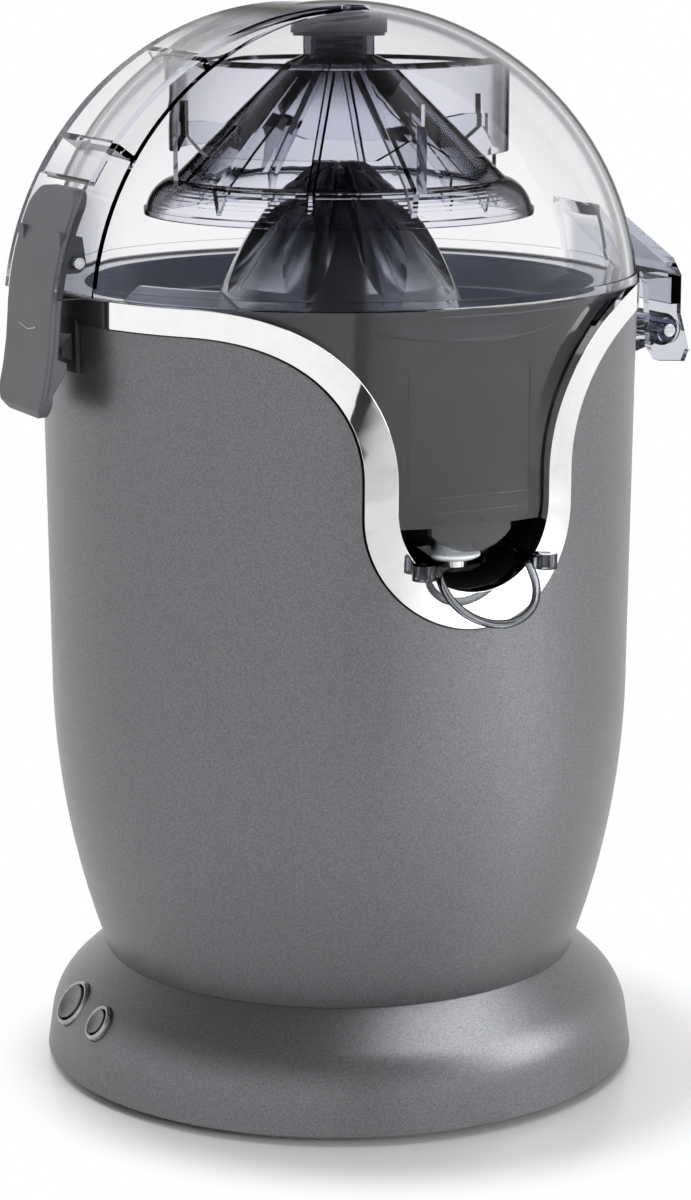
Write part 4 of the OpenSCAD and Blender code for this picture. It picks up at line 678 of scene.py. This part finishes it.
def flag_material():
    """Dark card that fades away to its right."""
    mat, tree, shader = new_material("flag")
    tree.links.new(greys(tree, noise(tree, 20), *FLAG_GREYS), shader.inputs["Base Color"])
    shader.inputs["Roughness"].default_value = FLAG_ROUGHNESS
    place = add(tree, "ShaderNodeSeparateXYZ")
    tree.links.new(coords(tree), place.inputs["Vector"])
    share = add(tree, "ShaderNodeMapRange")
    share.inputs["From Min"].default_value = FLAG_AWAY * math.sin(FLAG_FROM)
    share.inputs["From Max"].default_value = FLAG_AWAY * math.sin(FLAG_TO)
    tree.links.new(place.outputs["X"], share.inputs["Value"])
    fade = add(tree, "ShaderNodeValToRGB")
    bend, clearness = FLAG_BEND
    fade.color_ramp.elements.new(bend).color = (clearness, clearness, clearness, 1)
    fade.color_ramp.elements[0].position = FLAG_SOLID
    tree.links.new(share.outputs["Result"], fade.inputs["Fac"])
    gone = add(tree, "ShaderNodeBsdfTransparent")
    to_surface(tree, mixed(tree, fade.outputs["Color"], shader.outputs["BSDF"], gone.outputs["BSDF"]))
    return mat


def studio_flag():
    """Bent dark card beside the camera that only mirrored rays see."""
    form = bmesh.new()
    steps = 16
    columns = []
    for i in range(steps + 1):
        turn = FLAG_FROM + (FLAG_TO - FLAG_FROM) * i / steps
        x = FLAG_AWAY * math.sin(turn)
        y = -FLAG_AWAY * math.cos(turn)
        columns.append((form.verts.new((x, y, 0)), form.verts.new((x, y, FLAG_HEIGHT))))
    for one, two in zip(columns, columns[1:]):
        form.faces.new((one[0], two[0], two[1], one[1]))
    flag = from_form("flag", form)
    flag.data.materials.append(flag_material())
    flag.visible_camera = False
    flag.visible_diffuse = False
    flag.visible_transmission = False
    flag.visible_shadow = False


def studio_world():
    """White backdrop for what is seen or seen through, a soft fill, and a darker sky for mirrors."""
    world = bpy.data.worlds.new("studio")
    bpy.context.scene.world = world
    world.use_nodes = True
    tree = world.node_tree
    path = add(tree, "ShaderNodeLightPath")
    seen = add(tree, "ShaderNodeMath", operation="MAXIMUM")
    tree.links.new(path.outputs["Is Camera Ray"], seen.inputs[0])
    tree.links.new(path.outputs["Is Transmission Ray"], seen.inputs[1])
    level = add(tree, "ShaderNodeMapRange")
    level.inputs["To Min"].default_value = WORLD_FILL
    level.inputs["To Max"].default_value = 1.0
    tree.links.new(seen.outputs["Value"], level.inputs["Value"])
    height = add(tree, "ShaderNodeSeparateXYZ")
    tree.links.new(add(tree, "ShaderNodeTexCoord").outputs["Generated"], height.inputs["Vector"])
    sky = add(tree, "ShaderNodeMapRange", interpolation_type="SMOOTHSTEP")
    sky.inputs["From Min"].default_value = MIRRORED_RISE[0]
    sky.inputs["From Max"].default_value = MIRRORED_RISE[1]
    sky.inputs["To Min"].default_value = MIRRORED_HORIZON
    sky.inputs["To Max"].default_value = MIRRORED_ZENITH
    tree.links.new(height.outputs["Z"], sky.inputs["Value"])
    mirrored = add(tree, "ShaderNodeMix", data_type="FLOAT")
    tree.links.new(path.outputs["Is Glossy Ray"], mirrored.inputs["Factor"])
    tree.links.new(level.outputs["Result"], mirrored.inputs["A"])
    tree.links.new(sky.outputs["Result"], mirrored.inputs["B"])
    background = tree.nodes["Background"]
    background.inputs["Color"].default_value = (1, 1, 1, 1)
    tree.links.new(mirrored.outputs["Result"], background.inputs["Strength"])


def softbox(name, at, size, power, diffuse=True, glossy=True, aim=LAMP_AIM, spread_deg=180):
    """A rectangular area lamp that looks at the middle of the object or where it is told to."""
    data = bpy.data.lights.new(name, "AREA")
    data.shape = "RECTANGLE"
    data.size, data.size_y = size
    data.energy = power
    data.spread = math.radians(spread_deg)
    lamp = placed(name, data)
    lamp.location = at
    lamp.rotation_euler = (Vector(aim) - Vector(at)).to_track_quat("-Z", "Y").to_euler()
    lamp.visible_diffuse = diffuse
    lamp.visible_glossy = glossy
    lamp.visible_transmission = False


def studio_lamps():
    """Soft light for matte surfaces, and two softboxes on the right that the paint mirrors."""
    softbox("top", at=(0.05, 0.35, 1.40), size=(1.3, 1.1), power=19.0, glossy=False)
    softbox("key", at=(0.50, -0.38, 1.15), size=(0.8, 0.8), power=6.8, diffuse=False)
    softbox("side", at=(1.10, -0.78, 0.75), size=(0.8, 0.8), power=8.0, diffuse=False)
    softbox("pool", at=(0.45, -0.58, 0.55), size=(0.3, 0.3), power=2.3, glossy=False,
            aim=(0.42, -0.55, 0), spread_deg=80)
    softbox("left", at=(-1.15, -0.95, 0.85), size=(0.4, 0.4), power=1.6, glossy=False)
    softbox("front", at=(0.30, -1.30, 0.45), size=(0.4, 0.4), power=0.75, glossy=False,
            aim=(0, -0.06, 0.16), spread_deg=40)


def place_camera():
    """Camera at the photograph's place, with the long side of the frame upright."""
    data = bpy.data.cameras.new("camera")
    data.sensor_fit = "AUTO"
    data.sensor_width = SENSOR
    data.lens = CAMERA_LENS
    camera = placed("camera", data)
    camera.location = CAMERA_AT
    camera.rotation_euler = Vector(CAMERA_LOOK).to_track_quat("-Z", "Y").to_euler()
    bpy.context.scene.camera = camera


# Shading of the frame nodes


def smooth_group():
    """Geometry nodes that shade gentle bends smooth and keep sharp edges sharp."""
    group = bpy.data.node_groups.new("smooth_bends", "GeometryNodeTree")
    for way in ("INPUT", "OUTPUT"):
        group.interface.new_socket("Geometry", in_out=way, socket_type="NodeSocketGeometry")
    entry = add(group, "NodeGroupInput")
    leave = add(group, "NodeGroupOutput")
    faces = add(group, "GeometryNodeSetShadeSmooth", domain="FACE")
    edges = add(group, "GeometryNodeSetShadeSmooth", domain="EDGE")
    edges.inputs["Shade Smooth"].default_value = False
    angle = add(group, "GeometryNodeInputMeshEdgeAngle")
    sharp = add(group, "FunctionNodeCompare", data_type="FLOAT", operation="GREATER_THAN")
    sharp.inputs["B"].default_value = SMOOTH_ANGLE
    group.links.new(entry.outputs["Geometry"], faces.inputs["Geometry"])
    group.links.new(faces.outputs["Geometry"], edges.inputs["Geometry"])
    group.links.new(angle.outputs["Unsigned Angle"], sharp.inputs["A"])
    group.links.new(sharp.outputs["Result"], edges.inputs["Selection"])
    group.links.new(edges.outputs["Geometry"], leave.inputs["Geometry"])
    return group


def smooth_nodes():
    """Rounds the shading of every frame node."""
    group = smooth_group()
    for piece in nodes.values():
        modifier = piece.modifiers.new("smooth_bends", "NODES")
        modifier.node_group = group


dress_nodes()
smooth_nodes()
latch_mark()
collector_edges()
reamer_teeth()
press_spring()
studio_floor()
studio_flag()
studio_world()
studio_lamps()
place_camera()
bpy.context.scene.view_settings.view_transform = "Standard"
